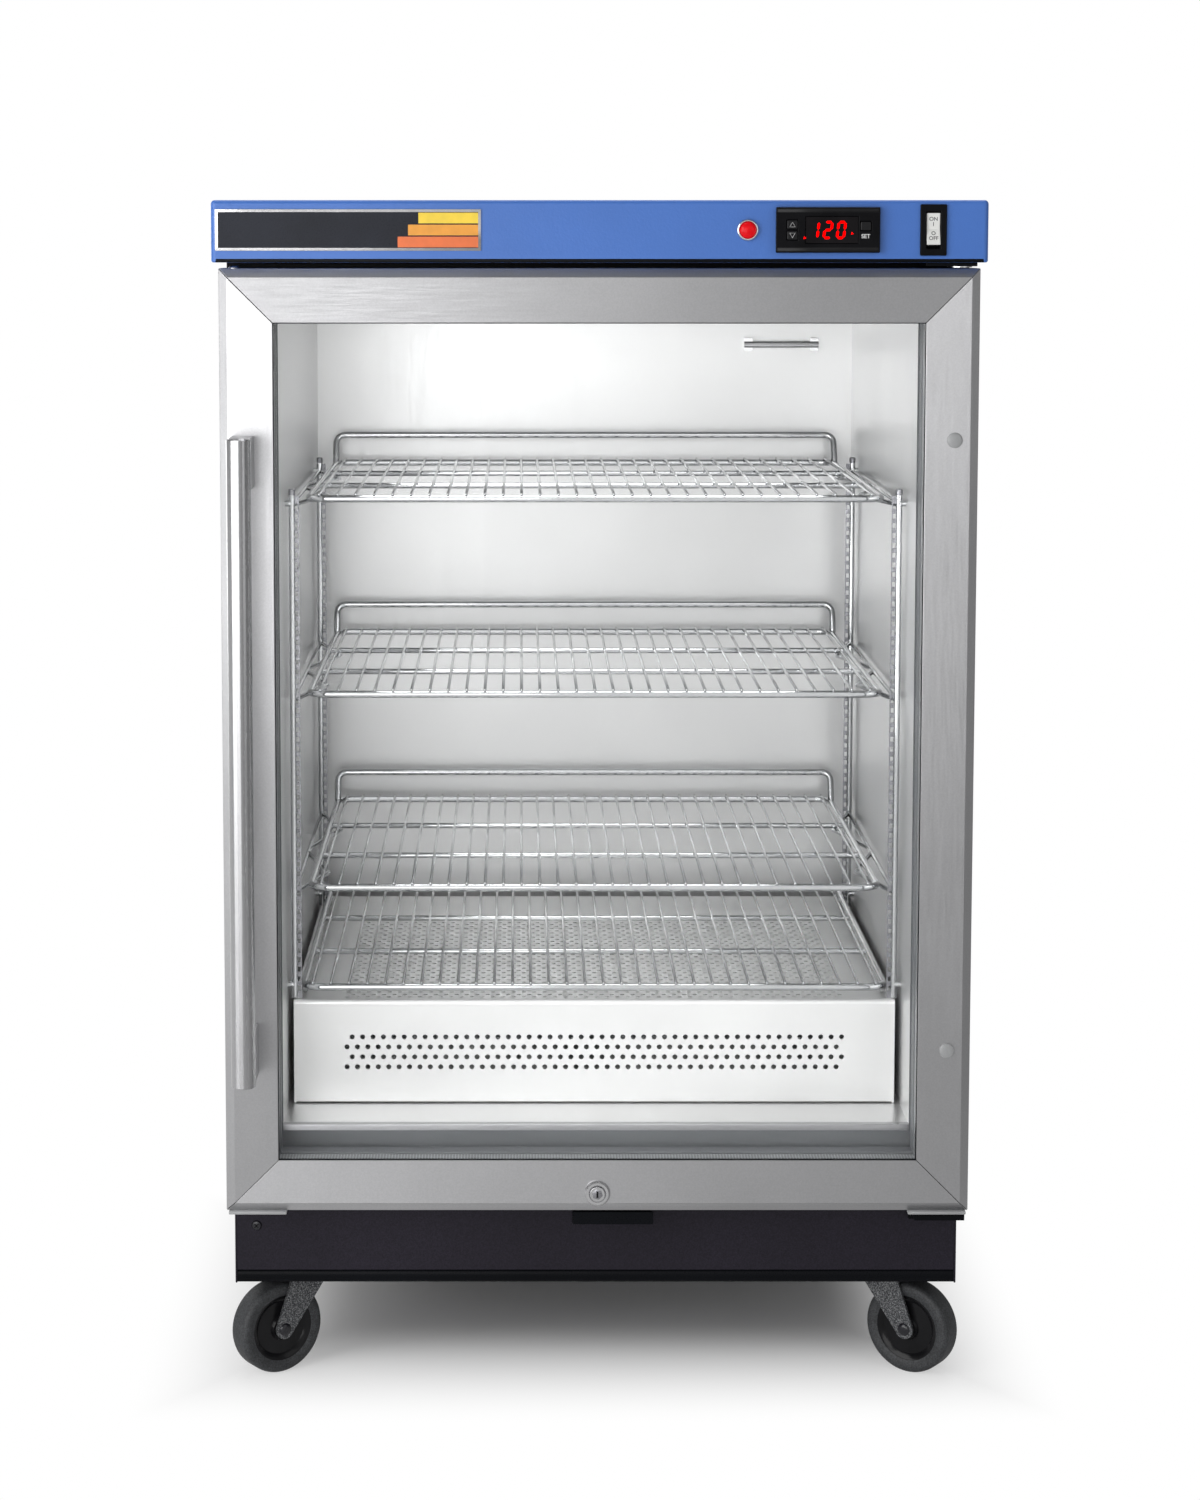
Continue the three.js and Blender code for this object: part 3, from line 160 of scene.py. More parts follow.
def finish(name, colour, roughness, metallic=0.0, tint=0.05, tint_size=0.12, spread=0.06,
           grain=0.1, grain_size=0.0008, stretch=(1, 1, 1), brushed=False, speck=0.0, **sockets):
    """A surface with a slow change of tint, an uneven gloss and a fine relief, sized in metres."""
    shader = new_shader(name)
    place = shader.place()
    slow = shader.noise(place, 1 / tint_size, detail=3.0)
    tone = shader.two_tone(slow, shade(colour, 1 - tint), shade(colour, 1 + tint))
    if speck:
        dust = shader.noise(place, 1 / SPECK_SIZE, detail=1.0)
        light = shader.ranged(dust, NOISE_SPAN, (1 - speck, 1 + speck))
        tone = shader.node("VectorMath", {0: tone, "Scale": light}, operation="SCALE")["Vector"]
    drawn = shader.node("Mapping", {"Vector": place, "Scale": stretch})["Vector"]
    fine = shader.noise(drawn, 1 / grain_size)
    gloss = shader.ranged(fine, NOISE_SPAN, (max(0.0, roughness - spread), roughness + spread))
    normal = shader.relief(fine, grain, grain_size / 4)
    if brushed:
        sockets["Tangent"] = shader.node("Tangent", {}, axis="Z")["Tangent"]
    return shader.paint(Base_Color=tone, Roughness=gloss, Metallic=metallic, Normal=normal, **sockets)


def clear_glass(name, tint):
    """Window glass that lets the lamps' light through to the chamber."""
    shader = new_shader(name)
    slow = shader.noise(shader.place(), scale=5.0)
    through = shader.node("BsdfTransparent", {"Color": (*tint, 1)})["BSDF"]
    shader.mix(shader.node("LightPath", {})["Is Shadow Ray"], through)
    return shader.paint(
        Base_Color=shader.two_tone(slow, shade(tint, 0.99), tint), Roughness=0.0, IOR=1.45,
        Specular_Tint=(0.05, 0.05, 0.05, 1), Transmission_Weight=1.0,
    )


def glowing(name, colour, strength):
    """A lit display segment with a slightly uneven glow."""
    shader = new_shader(name)
    fine = shader.noise(shader.place(), scale=700.0)
    tone = shader.two_tone(fine, shade(colour, 0.8), colour)
    return shader.paint(
        Base_Color=tone, Emission_Color=tone, Emission_Strength=strength, Specular_IOR_Level=0.0
    )


def perforated_strip(name, colour, pitch):
    """Grey metal with bright pinholes, for the strip between the panes."""
    shader = new_shader(name)
    cells = {"Vector": shader.place(), "Scale": 1 / pitch, "Randomness": 0.0}
    distance = shader.node("TexVoronoi", cells, feature="F1")["Distance"]
    tone = shader.two_tone(distance, shade(colour, 2.4), colour, span=(0.22, 0.32))
    return shader.paint(Base_Color=tone, Metallic=0.7, Roughness=0.45)


def speckled(name, colour, flake, roughness):
    """Dark coated steel with small lighter flakes."""
    shader = new_shader(name)
    fine = shader.noise(shader.place(), scale=1000.0, detail=3.0)
    tone = shader.two_tone(fine, colour, flake, span=(0.45, 0.72))
    normal = shader.relief(fine, strength=0.3, distance=0.0002)
    return shader.paint(Base_Color=tone, Roughness=roughness, Metallic=0.5, Normal=normal)


BRUSHED_FRAME = {
    "tint": 0.03, "grain": 0.12, "grain_size": 0.0006, "spread": 0.05, "brushed": True, "speck": 0.04,
    "Anisotropic": 0.7,
}

blue_paint = finish(
    "blue_paint", (0.055, 0.164, 0.525), 0.38, grain=0.25, grain_size=0.0018, spread=0.05
)
black_paint = finish(
    "black_paint", (0.014, 0.0115, 0.019), 0.48, tint=0.12, grain=0.35, grain_size=0.0009,
    spread=0.08, speck=0.25, Specular_IOR_Level=0.2,
)
# A black darker than black_paint, as painted shade: it darkens the strike, the hinges, the plinth's lip and
# the strips in the gaps round the door and lid.
shade_black = finish(
    "shade_black", (0.004, 0.0045, 0.006), 0.3, tint=0.15, grain=0.3, grain_size=0.0009,
    Specular_IOR_Level=0.07,
)
frame_across = finish(
    "frame_brushed_across", (0.465, 0.465, 0.475), 0.40, 1.0, stretch=BRUSH_X,
    Anisotropic_Rotation=0.25, **BRUSHED_FRAME,
)
# The uprights' finish is a little lighter than the rails': painted light on the stiles and handle brackets.
frame_upright = finish(
    "frame_brushed_upright", (0.505, 0.505, 0.515), 0.34, 1.0, stretch=BRUSH_Z, **BRUSHED_FRAME
)
liner_steel = finish(
    "liner_steel", (0.73, 0.73, 0.73), 0.34, 0.8, tint=0.03, grain=0.05, grain_size=0.0007,
    stretch=BRUSH_Z, spread=0.03,
)
# Lighter than the liner's steel: painted light on the heater cover.
heater_steel = finish(
    "heater_steel", (0.92, 0.92, 0.915), 0.36, 0.6, tint=0.03, grain=0.06, grain_size=0.0007,
    stretch=BRUSH_X, spread=0.04,
)
bright_wire = finish(
    "bright_wire", (0.60, 0.61, 0.62), 0.10, 1.0, tint=0.04, tint_size=0.03, grain=0.08,
    grain_size=0.0010, spread=0.04,
)
handle_steel = finish(
    "handle_steel", (0.50, 0.50, 0.51), 0.24, 1.0, tint=0.03, grain=0.08, grain_size=0.0005,
    stretch=BRUSH_Z, spread=0.04, brushed=True, Anisotropic=0.85, Anisotropic_Rotation=0.25,
)
plated_steel = finish(
    "plated_steel", (0.66, 0.66, 0.67), 0.2, 1.0, tint_size=0.01, grain=0.08, spread=0.05
)
screw_steel = finish("screw_steel", (0.32, 0.32, 0.34), 0.3, 1.0, tint=0.1, tint_size=0.004, grain=0.2)
dark_screw = finish("dark_screw", (0.012, 0.012, 0.016), 0.2, tint=0.1, tint_size=0.004, grain=0.2)
motor_steel = finish("motor_steel", (0.40, 0.41, 0.42), 0.45, 1.0, tint=0.08, tint_size=0.02, grain=0.2)
fibre = finish(
    "glass_wool", (0.72, 0.64, 0.36), 0.95, tint=0.18, tint_size=0.01, grain=0.9, grain_size=0.003
)
door_glass = clear_glass("door_glass", (0.99, 0.992, 0.992))
spacer_strip = perforated_strip("spacer_strip", (0.30, 0.31, 0.32), 0.0024)
grey_plastic = finish("grey_plastic", (0.17, 0.176, 0.186), 0.5, tint=0.04, grain=0.3, grain_size=0.0007)
pale_plastic = finish("pale_plastic", (0.34, 0.345, 0.35), 0.35, tint=0.04, grain=0.25, grain_size=0.0006)
grey_rubber = finish("grey_rubber", (0.30, 0.31, 0.32), 0.7, tint=0.06, grain=0.4, grain_size=0.0009)
black_plastic = finish(
    "black_plastic", (0.005, 0.005, 0.006), 0.25, tint=0.2, tint_size=0.02, grain=0.15,
    grain_size=0.0005, Specular_IOR_Level=0.06,
)
gloss_black = finish(
    "gloss_black", (0.009, 0.009, 0.010), 0.16, tint=0.2, tint_size=0.02, grain=0.08,
    grain_size=0.0006, Specular_IOR_Level=0.18,
)
white_plastic = finish("white_plastic", (0.82, 0.82, 0.80), 0.35, tint=0.03, grain=0.15, grain_size=0.0005)
red_lens = finish(
    "red_lens", (0.55, 0.003, 0.006), 0.22, tint=0.15, tint_size=0.004, Specular_IOR_Level=0.2,
    Emission_Color=(0.8, 0.0, 0.005, 1), Emission_Strength=0.3,
)
smoked_window = finish(
    "smoked_window", (0.006, 0.005, 0.006), 0.2, tint=0.3, tint_size=0.02, grain=0.04,
    Specular_IOR_Level=0.1,
)
tyre_rubber = finish(
    "tyre_rubber", (0.035, 0.037, 0.040), 0.6, tint=0.15, tint_size=0.01, grain=0.5, grain_size=0.0009,
    speck=0.5,
)
fork_steel = speckled("fork_steel", (0.04, 0.042, 0.046), (0.34, 0.345, 0.355), 0.38)
display_red = glowing("display_red", (1.0, 0.0, 0.0), 1.1)
legend_white = finish("legend_white", (0.86, 0.86, 0.86), 0.5, grain_size=0.0004)
legend_black = finish("legend_black", (0.02, 0.02, 0.02), 0.5, tint=0.1, grain_size=0.0004)
plate_field = finish(
    "plate_field", (0.014, 0.016, 0.024), 0.3, tint=0.15, tint_size=0.03, Specular_IOR_Level=0.15
)
plate_orange = finish("plate_orange", (0.78, 0.16, 0.035), 0.35, tint_size=0.01)
plate_amber = finish("plate_amber", (0.80, 0.33, 0.03), 0.35, tint_size=0.01)
plate_yellow = finish("plate_yellow", (0.88, 0.62, 0.04), 0.35, tint_size=0.01)


# Mesh building

MERGE_DISTANCE = 1e-6
FILL_TOLERANCE = 1e-7
DIAGONAL = math.sqrt(0.5)


def block(mesh, low, high, bevel=0.0, material=0):
    """A block between two corners, with its edges rounded."""
    size = Vector(high) - Vector(low)
    middle = (Vector(high) + Vector(low)) / 2
    placed = Matrix.Translation(middle) @ Matrix.Diagonal((*size, 1))
    made = bmesh.ops.create_cube(mesh, size=1, matrix=placed)["verts"]
    faces = {face for vert in made for face in vert.link_faces}
    if bevel:
        edges = list({edge for vert in made for edge in vert.link_edges})
        round_edges = bmesh.ops.bevel(
            mesh, geom=edges, offset=bevel, segments=2, profile=0.5, affect="EDGES"
        )
        faces = {face for face in faces if face.is_valid} | set(round_edges["faces"])
    for face in faces:
        face.material_index = material


def ring(mesh, middle, across, other, radius, sides):
    """Corners on a circle, or a single one where the radius is nothing."""
    if radius == 0:
        return [mesh.verts.new(middle)]
    corners = []
    for i in range(sides):
        angle = 2 * math.pi * i / sides
        spoke = across * math.cos(angle) + other * math.sin(angle)
        corners.append(mesh.verts.new(middle + spoke * radius))
    return corners


def join(mesh, near, far, material=0):
    """Faces between two rings, of which one may be a single corner."""
    made = []
    for i in range(max(len(near), len(far))):
        corners = [near[i % len(near)], near[(i + 1) % len(near)]]
        corners += [far[(i + 1) % len(far)], far[i % len(far)]]
        made.append(mesh.faces.new(list(dict.fromkeys(corners))))
        made[-1].material_index = material
    return made


def lathe(mesh, profile, centre, axis, sides=40, material=0):
    """A turned piece: radius and place pairs along an axis from a centre."""
    axis = Vector(axis).normalized()
    across = axis.orthogonal().normalized()
    other = axis.cross(across)
    rings = []
    for radius, place in profile:
        rings.append(ring(mesh, Vector(centre) + axis * place, across, other, radius, sides))
    for inner, outer in zip(rings, rings[1:]):
        join(mesh, inner, outer, material)


def rounded(points, bend, closed=False, steps=6):
    """The path through some points, with each corner turned on a radius."""
    points = [Vector(point) for point in points]
    path = []
    for i, corner in enumerate(points):
        if not closed and i in (0, len(points) - 1):
            path.append(corner)
            continue
        before = (points[i - 1] - corner).normalized()
        after = (points[(i + 1) % len(points)] - corner).normalized()
        half = before.angle(after) / 2
        middle = corner + (before + after).normalized() * (bend / math.sin(half))
        start = corner + before * (bend / math.tan(half)) - middle
        end = corner + after * (bend / math.tan(half)) - middle
        for step in range(steps + 1):
            path.append(middle + start.normalized().slerp(end.normalized(), step / steps) * bend)
    return path


def wire(mesh, path, radius, sides=10, closed=False):
    """A round wire along a path, with domed ends where it isn't closed."""
    path = [Vector(point) for point in path]
    count = len(path)
    stations = []
    for i, point in enumerate(path):
        after = path[(i + 1) % count] if closed else path[min(i + 1, count - 1)]
        before = path[i - 1] if closed else path[max(i - 1, 0)]
        stations.append((point, (after - before).normalized(), radius))
    if not closed:
        (start, first, _), (end, last, _) = stations[0], stations[-1]
        shrunk = radius * DIAGONAL
        stations = [(start - first * shrunk, first, shrunk), *stations, (end + last * shrunk, last, shrunk)]
    normal = stations[0][1].orthogonal().normalized()
    rings = []
    for point, tangent, size in stations:
        normal = (normal - tangent * normal.dot(tangent)).normalized()
        rings.append(ring(mesh, point, normal, tangent.cross(normal), size, sides))
    for near, far in zip(rings, rings[1:]):
        join(mesh, near, far)
    if closed:
        join(mesh, rings[-1], rings[0])
        return
    for (point, tangent, _), tip, way in ((stations[0], rings[0], -1), (stations[-1], rings[-1], 1)):
        join(mesh, tip, [mesh.verts.new(point + tangent * radius * (1 - DIAGONAL) * way)])


def filled(mesh, outline, holes, place, across, up, material=0):
    """Fills a flat outline, given in 2-D points, around its holes; gives back points and faces."""
    points = []
    edges = []
    loop_of = []
    for number, loop in enumerate([outline, *holes]):
        start = len(points)
        points += [Vector(point) for point in loop]
        edges += [(start + i, start + (i + 1) % len(loop)) for i in range(len(loop))]
        loop_of += [number] * len(loop)
    flat, _, faces, origins, *_ = delaunay_2d_cdt(points, edges, [], 1, FILL_TOLERANCE)
    corners = [mesh.verts.new(place + across * p.x + up * p.y) for p in flat]
    made = []
    for face in faces:
        loops = {loop_of[origins[i][0]] for i in face}
        if len(loops) > 1 or 0 in loops:
            made.append(mesh.faces.new([corners[i] for i in face]))
            made[-1].material_index = material
    return corners, made


def sheet(mesh, outline, holes, place, across, up, thickness, material=0):
    """A flat sheet with holes; its thickness is a vector off the drawn face."""
    near, faces = filled(mesh, outline, holes, place, across, up, material)
    far, _ = filled(mesh, outline, holes, place + thickness, across, up, material)
    opposite = dict(zip(near, far))
    rims = [edge for face in faces for edge in face.edges if edge.is_boundary]
    for a, b in [edge.verts for edge in rims]:
        mesh.faces.new((a, b, opposite[b], opposite[a])).material_index = material


def strip(mesh, section, left, right):
    """A bar along X with the given closed section in Y and Z."""
    near, far = ([mesh.verts.new((x, y, z)) for y, z in section] for x in (left, right))
    join(mesh, near, far)
    mesh.faces.new(near)
    mesh.faces.new(list(reversed(far)))


def rectangle(left, right, bottom, top):
    return [(left, bottom), (right, bottom), (right, top), (left, top)]


def arc(centre, radius, start, end, steps):
    """Points on an arc, angles in degrees."""
    points = []
    for i in range(steps + 1):
        angle = math.radians(start + (end - start) * i / steps)
        points.append((centre[0] + radius * math.cos(angle), centre[1] + radius * math.sin(angle)))
    return points


def rounded_box(width, height, radius, steps):
    """Outline of a rectangle about the origin with rounded corners."""
    x, y = width / 2 - radius, height / 2 - radius
    points = []
    for i, corner in enumerate(((x, y), (-x, y), (-x, -y), (x, -y))):
        points += arc(corner, radius, 90 * i, 90 * i + 90, steps)
    return points


def quarter_turn(steps):
    """Angles from nothing to a right angle."""
    return [math.pi / 2 * i / steps for i in range(steps + 1)]


def dome(radius, foot, top):
    """A domed profile for the lathe, from its tip out to its foot."""
    return [(radius * math.sin(a), foot + (top - foot) * math.cos(a)) for a in quarter_turn(steps=8)]


def mirrored(profile):
    """A closed profile for the lathe, alike on both sides of the middle."""
    return profile + [(radius, -place) for radius, place in reversed(profile)] + profile[:1]


def soften_edges(mesh, width):
    """Rounds the sharp edges of what the mesh holds so far."""
    sharp_from = math.radians(40)
    sharp = []
    for edge in mesh.edges:
        if len(edge.link_faces) == 2 and edge.calc_face_angle() > sharp_from:
            sharp.append(edge)
    bmesh.ops.bevel(mesh, geom=sharp, offset=width, segments=2, profile=0.5, affect="EDGES")


def clean(mesh):
    """Joins corners that meet and turns all faces outwards."""
    bmesh.ops.remove_doubles(mesh, verts=mesh.verts, dist=MERGE_DISTANCE)
    bmesh.ops.recalc_face_normals(mesh, faces=mesh.faces)


def piece(name, mesh, materials, body, replaced=(), smooth=35):
    """Makes an object of a mesh, dresses it and lets it ride on a body."""
    clean(mesh)
    data = bpy.data.meshes.new(name)
    mesh.to_mesh(data)
    mesh.free()
    for material in materials:
        data.materials.append(material)
    data.shade_smooth()
    data.set_sharp_from_angle(angle=math.radians(smooth))
    made = bpy.data.objects.new(name, data)
    bpy.context.scene.collection.objects.link(made)
    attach(made, body)
    if replaced:
        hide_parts(*replaced)
    return made


def dress(material, *names, bevel=0.0, segments=2):
    """Gives CAD nodes their finish, and rounds their edges where a width is given."""
    for name in names:
        node = nodes[name]
        node.data.materials.clear()
        node.data.materials.append(material)
        if not bevel:
            continue
        node.modifiers.new("weld", "WELD").merge_threshold = MERGE_DISTANCE
        edge = node.modifiers.new("edges", "BEVEL")
        edge.width = bevel
        edge.segments = segments
        edge.limit_method = "ANGLE"
        edge.angle_limit = math.radians(35)
        edge.harden_normals = True


def middle_of(node):
    low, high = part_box(node)
    return (low + high) / 2


# Cabinet body and door


def dress_body():
    dress(black_paint, "outer_shell", "plinth_panel", "rear_cover", "base_pan", bevel=0.5 * MM)
    # The strike and the hinges take the darker black: painted shade round the door.
    dress(shade_black, "lock_strike", "top_hinge", "bottom_hinge", bevel=0.5 * MM)
    dress(black_paint, *(f"caster_plate_{corner}" for corner in CORNERS), bevel=0.4 * MM)
    dress(liner_steel, "inner_liner")
    dress(fibre, "insulation")
    dress(black_plastic, "power_inlet", bevel=0.4 * MM)
    dress(plated_steel, "temperature_probe")
    dress(motor_steel, "heating_element", "fan_motor")
    dress(black_plastic, "fan_impeller")


def dress_door():
    dress(frame_across, "door_rail_top", "door_rail_bottom", bevel=0.6 * MM)
    dress(frame_upright, "door_stile_left", "door_stile_right", bevel=0.6 * MM)
    dress(door_glass, "outer_glass", "inner_glass")
    dress(spacer_strip, "glass_spacer")
    dress(grey_plastic, "glazing_frame", bevel=0.8 * MM)
    dress(grey_rubber, "door_gasket", bevel=1.5 * MM, segments=3)
    dress(frame_upright, "handle_bracket_top", "handle_bracket_bottom", bevel=0.7 * MM)


# Wire goods

RAIL_RADIUS = 3 * MM
GRID_RADIUS = 1.2 * MM
GRID_PITCH = 15 * MM
RAIL_BEND = 14 * MM
HOOP_BEND = 8 * MM
GRID_SINK = 0.5 * MM
CROSS_WIRES = 2
RACK_RISE = 10 * MM
LEG_RUN = 22 * MM
LEG_BEND = 2.5 * MM
LEG_RADIUS = 0.9 * RAIL_RADIUS


def wire_grid(mesh, low, high, rail_z):
    """A bent rail, cross wires under the grid and thin wires that lie on the rail."""
    left, right = low.x + RAIL_RADIUS, high.x - RAIL_RADIUS
    front, rear = low.y + RAIL_RADIUS, high.y - RAIL_RADIUS
    loop = [(x, y, rail_z) for x, y in rectangle(left, right, front, rear)]
    wire(mesh, rounded(loop, RAIL_BEND, closed=True), RAIL_RADIUS, sides=14, closed=True)
    for i in range(1, CROSS_WIRES + 1):
        y = low.y + (high.y - low.y) * i / (CROSS_WIRES + 1)
        wire(mesh, [(left, y, rail_z), (right, y, rail_z)], RAIL_RADIUS - GRID_SINK, sides=12)
    grid_z = rail_z + RAIL_RADIUS + GRID_RADIUS - GRID_SINK
    count = int((right - left) / GRID_PITCH)
    for i in range(count):
        x = (i - (count - 1) / 2) * GRID_PITCH
        ends = [(x, front - RAIL_RADIUS / 2, grid_z), (x, rear + RAIL_RADIUS / 2, grid_z)]
        wire(mesh, ends, GRID_RADIUS, sides=8)


def make_shelf(name):
    """A wire grid with a raised hoop along its rear."""
    low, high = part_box(name)
    rail_z = low.z + RAIL_RADIUS
    mesh = bmesh.new()
    wire_grid(mesh, low, high, rail_z)
    left, right = low.x + RAIL_RADIUS, high.x - RAIL_RADIUS
    rear, top = high.y - RAIL_RADIUS, high.z - RAIL_RADIUS
    step = rear - RAIL_BEND
    hoop = [(left, step, rail_z), (left, rear, top), (right, rear, top), (right, step, rail_z)]
    wire(mesh, rounded(hoop, HOOP_BEND), RAIL_RADIUS, sides=12)
    piece(f"{name}_wires", mesh, [bright_wire], name, [name])


def make_rack():
    """A wire grid on four bent legs that stand on the heater cover."""
    low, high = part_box("bottom_rack")
    heater_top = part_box("heater_cover")[1].z
    rail_z, foot_z = heater_top + RACK_RISE, heater_top + RAIL_RADIUS
    inset = RAIL_BEND + RAIL_RADIUS
    mesh = bmesh.new()
    wire_grid(mesh, low, high, rail_z)
    for x in (low.x + RAIL_RADIUS, high.x - RAIL_RADIUS):
        for y, run in ((low.y + inset, LEG_RUN), (high.y - inset, -LEG_RUN)):
            leg = [(x, y, rail_z), (x, y + run / 4, foot_z)]
            leg += [(x, y + run, foot_z), (x, y + run * 1.25, rail_z)]
            wire(mesh, rounded(leg, LEG_BEND, steps=3), LEG_RADIUS)
    piece("bottom_rack_wires", mesh, [bright_wire], "bottom_rack", ["bottom_rack"])


def make_ladder(name, side):
    """Uprights pegged to the wall, with a tie and two bent clips under each shelf."""
    low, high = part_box(name)
    upright, clip = mm(2.3, 1.9)
    stand_off, end_gap, peg_inset = mm(5.5, 2.5, 12)
    cap, cap_height, cap_edge = upright + 0.5 * MM, 5 * MM, 0.6 * MM
    strip_gap = 6 * MM
    clip_reach, clip_run, clip_bend = mm(23, 83, 4)
    wall_x = high.x if side > 0 else low.x
    x = wall_x - side * stand_off
    front, rear = low.y + end_gap, high.y - end_gap
    profile = [(0, 0), (cap, 0), (cap, cap_height - cap_edge), (cap - cap_edge, cap_height), (0, cap_height)]
    mesh = bmesh.new()
    for y in (front, rear):
        wire(mesh, [(x, y, low.z + upright), (x, y, high.z - upright)], upright, sides=14)
        lathe(mesh, profile, (x, y, high.z - cap_height), UP, sides=16, material=1)
        for z in (low.z + peg_inset, high.z - peg_inset):
            wire(mesh, [(x, y, z), (wall_x, y, z)], upright)
        slotted_strip(mesh, x, y + upright, low.z, high.z - strip_gap, side)
    for shelf in SHELVES:
        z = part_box(shelf)[0].z - clip
        wire(mesh, [(x, front, z), (x, rear, z)], clip)
        reach = x - side * clip_reach
        for start, run in ((front, clip_run), (rear, -clip_run)):
            vee = [(x, start, z), (reach, start + run, z), (x, start + 2 * run, z)]
            wire(mesh, rounded(vee, clip_bend), clip)
    piece(f"{name}_wires", mesh, [bright_wire, screw_steel], "cabinet", [name])


def slotted_strip(mesh, x, y, low, high, side):
    """A flat strip behind an upright, with a row of slots along its inner edge."""
    inner, outer = x - side * 5.5 * MM, x + side * 3 * MM
    slot_near, slot_far = inner + side * 1 * MM, inner + side * 3.4 * MM
    pitch, gauge = mm(8, 1)
    slots = []
    for i in range(int((high - low) / pitch) - 1):
        z = low + (i + 0.75) * pitch
        slots.append(rectangle(slot_near, slot_far, z, z + pitch / 2))
    outline = rectangle(inner, outer, low, high)
    sheet(mesh, outline, slots, BACK * y, ACROSS, UP, BACK * gauge, material=1)


# Heater cover

HOLE_RADIUS = 2.2 * MM
HOLE_SIDES = 8
HOLE_PITCH = 8.6 * MM
HOLE_ROW = 8.4 * MM
HOLES_ACROSS = 48
FRONT_ROWS = 4
FRONT_ROW_RISE = 30.5 * MM
TOP_ROWS = 34
TOP_ROW_GAP = 6 * MM


def hole_rows(first, rows):
    """Rows of round holes about the middle, each row half a pitch off the last."""
    holes = []
    for row in range(rows):
        shift = HOLE_PITCH / 4 * (-1 if row % 2 == 0 else 1)
        for i in range(HOLES_ACROSS):
            x = (i - (HOLES_ACROSS - 1) / 2) * HOLE_PITCH + shift
            holes.append(arc((x, first + row * HOLE_ROW), HOLE_RADIUS, 0, 360, HOLE_SIDES)[:-1])
    return holes


def make_heater_cover():
    """A folded steel cover: perforated front and top, a soft fold between them, and plain sides."""
    low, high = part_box("heater_cover")
    wall, fold, foot_gap = mm(1.5, 3.5, 1.3)
    left, right = low.x, high.x
    front_top, top_front = high.z - fold, low.y + fold
    mesh = bmesh.new()
    front = rectangle(left, right, low.z + foot_gap, front_top)
    front_holes = hole_rows(low.z + FRONT_ROW_RISE, FRONT_ROWS)
    sheet(mesh, front, front_holes, BACK * low.y, ACROSS, UP, BACK * wall)
    top = rectangle(left, right, top_front, high.y)
    top_holes = hole_rows(top_front + TOP_ROW_GAP, TOP_ROWS)
    sheet(mesh, top, top_holes, UP * high.z, ACROSS, BACK, -UP * wall)
    section = arc((top_front, front_top), fold, 180, 90, 6)
    section += arc((top_front, front_top), fold - wall, 90, 180, 6)
    strip(mesh, section, left, right)
    side = rectangle(low.y + wall, high.y, low.z, high.z - wall)
    for x, thickness in ((left, wall), (right, -wall)):
        sheet(mesh, side, [], ACROSS * x, BACK, UP, ACROSS * thickness)
    piece("heater_cover_sheet", mesh, [heater_steel], "cabinet", ["heater_cover"], smooth=30)


# Door fittings

FOOT_SINK = 0.3 * MM
LEGEND_LIFT = 0.05 * MM


def make_handle():
    """A tube with chamfered ends and a sunken plug in each."""
    low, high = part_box("handle_bar")
    centre = middle_of("handle_bar")
    radius, half = (high.x - low.x) / 2, (high.z - low.z) / 2
    chamfer, wall, plug = mm(0.7, 2.2, 0.8)
    inner = radius - wall
    end = [(0, half - plug), (inner, half - plug), (inner, half), (radius - chamfer, half)]
    end.append((radius, half - chamfer))
    profile = end + [(size, -place) for size, place in reversed(end)]
    mesh = bmesh.new()
    lathe(mesh, profile, centre, UP, sides=64)
    piece("handle_tube", mesh, [handle_steel], "door", ["handle_bar"], smooth=30)


def make_plug(name):
    """A domed plug with a stem in the stile's hole."""
    low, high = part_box(name)
    centre = middle_of(name)
    radius = (high.x - low.x) / 2
    centre.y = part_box("door_stile_right")[0].y
    head, stem, stem_radius = centre.y - low.y, centre.y - high.y, radius / 2
    profile = dome(radius, head * 0.35, head)
    profile += [(radius, 0), (stem_radius, 0), (stem_radius, stem), (0, stem)]
    mesh = bmesh.new()
    lathe(mesh, profile, centre, FRONT)
    piece(f"{name}_cap", mesh, [pale_plastic], "door", [name])


def make_lock():
    """A round keylock: a chamfered flange, a turning plug and its key slot."""
    low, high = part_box("lock_body")
    centre = middle_of("lock_body")
    radius = (high.x - low.x) / 2
    centre.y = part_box("door_rail_bottom")[0].y
    head, stem = centre.y - low.y, centre.y - high.y
    bore, bore_edge, shank = mm(6.2, 0.8, 8)
    profile = [(radius, 0), (radius, head * 0.45), (radius * 0.86, head), (bore + bore_edge, head)]
    profile += [(bore, head * 0.75), (bore, stem), (shank, stem), (shank, 0), (radius, 0)]
    mesh = bmesh.new()
    lathe(mesh, profile, centre, FRONT, sides=48)
    piece("lock_flange", mesh, [plated_steel], "door", ["lock_body"], smooth=25)
    dress(plated_steel, "lock_plug", bevel=0.3 * MM)
    face = Vector((centre.x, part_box("lock_plug")[0].y, centre.z))
    boss, boss_top, boss_rise = mm(4.4, 3.6, 0.25)
    profile = [(0, boss_rise), (boss_top, boss_rise), (boss, 0), (boss, -FOOT_SINK), (0, -FOOT_SINK)]
    mesh = bmesh.new()
    lathe(mesh, profile, face, FRONT, sides=6)
    slot_low, slot_high = Vector((-0.8, -0.5, -2.6)) * MM, Vector((0.8, 0.1, 2.6)) * MM
    block(mesh, face + slot_low, face + slot_high, material=1)
    piece("lock_key_slot", mesh, [screw_steel, gloss_black], "lock_plug", smooth=25)


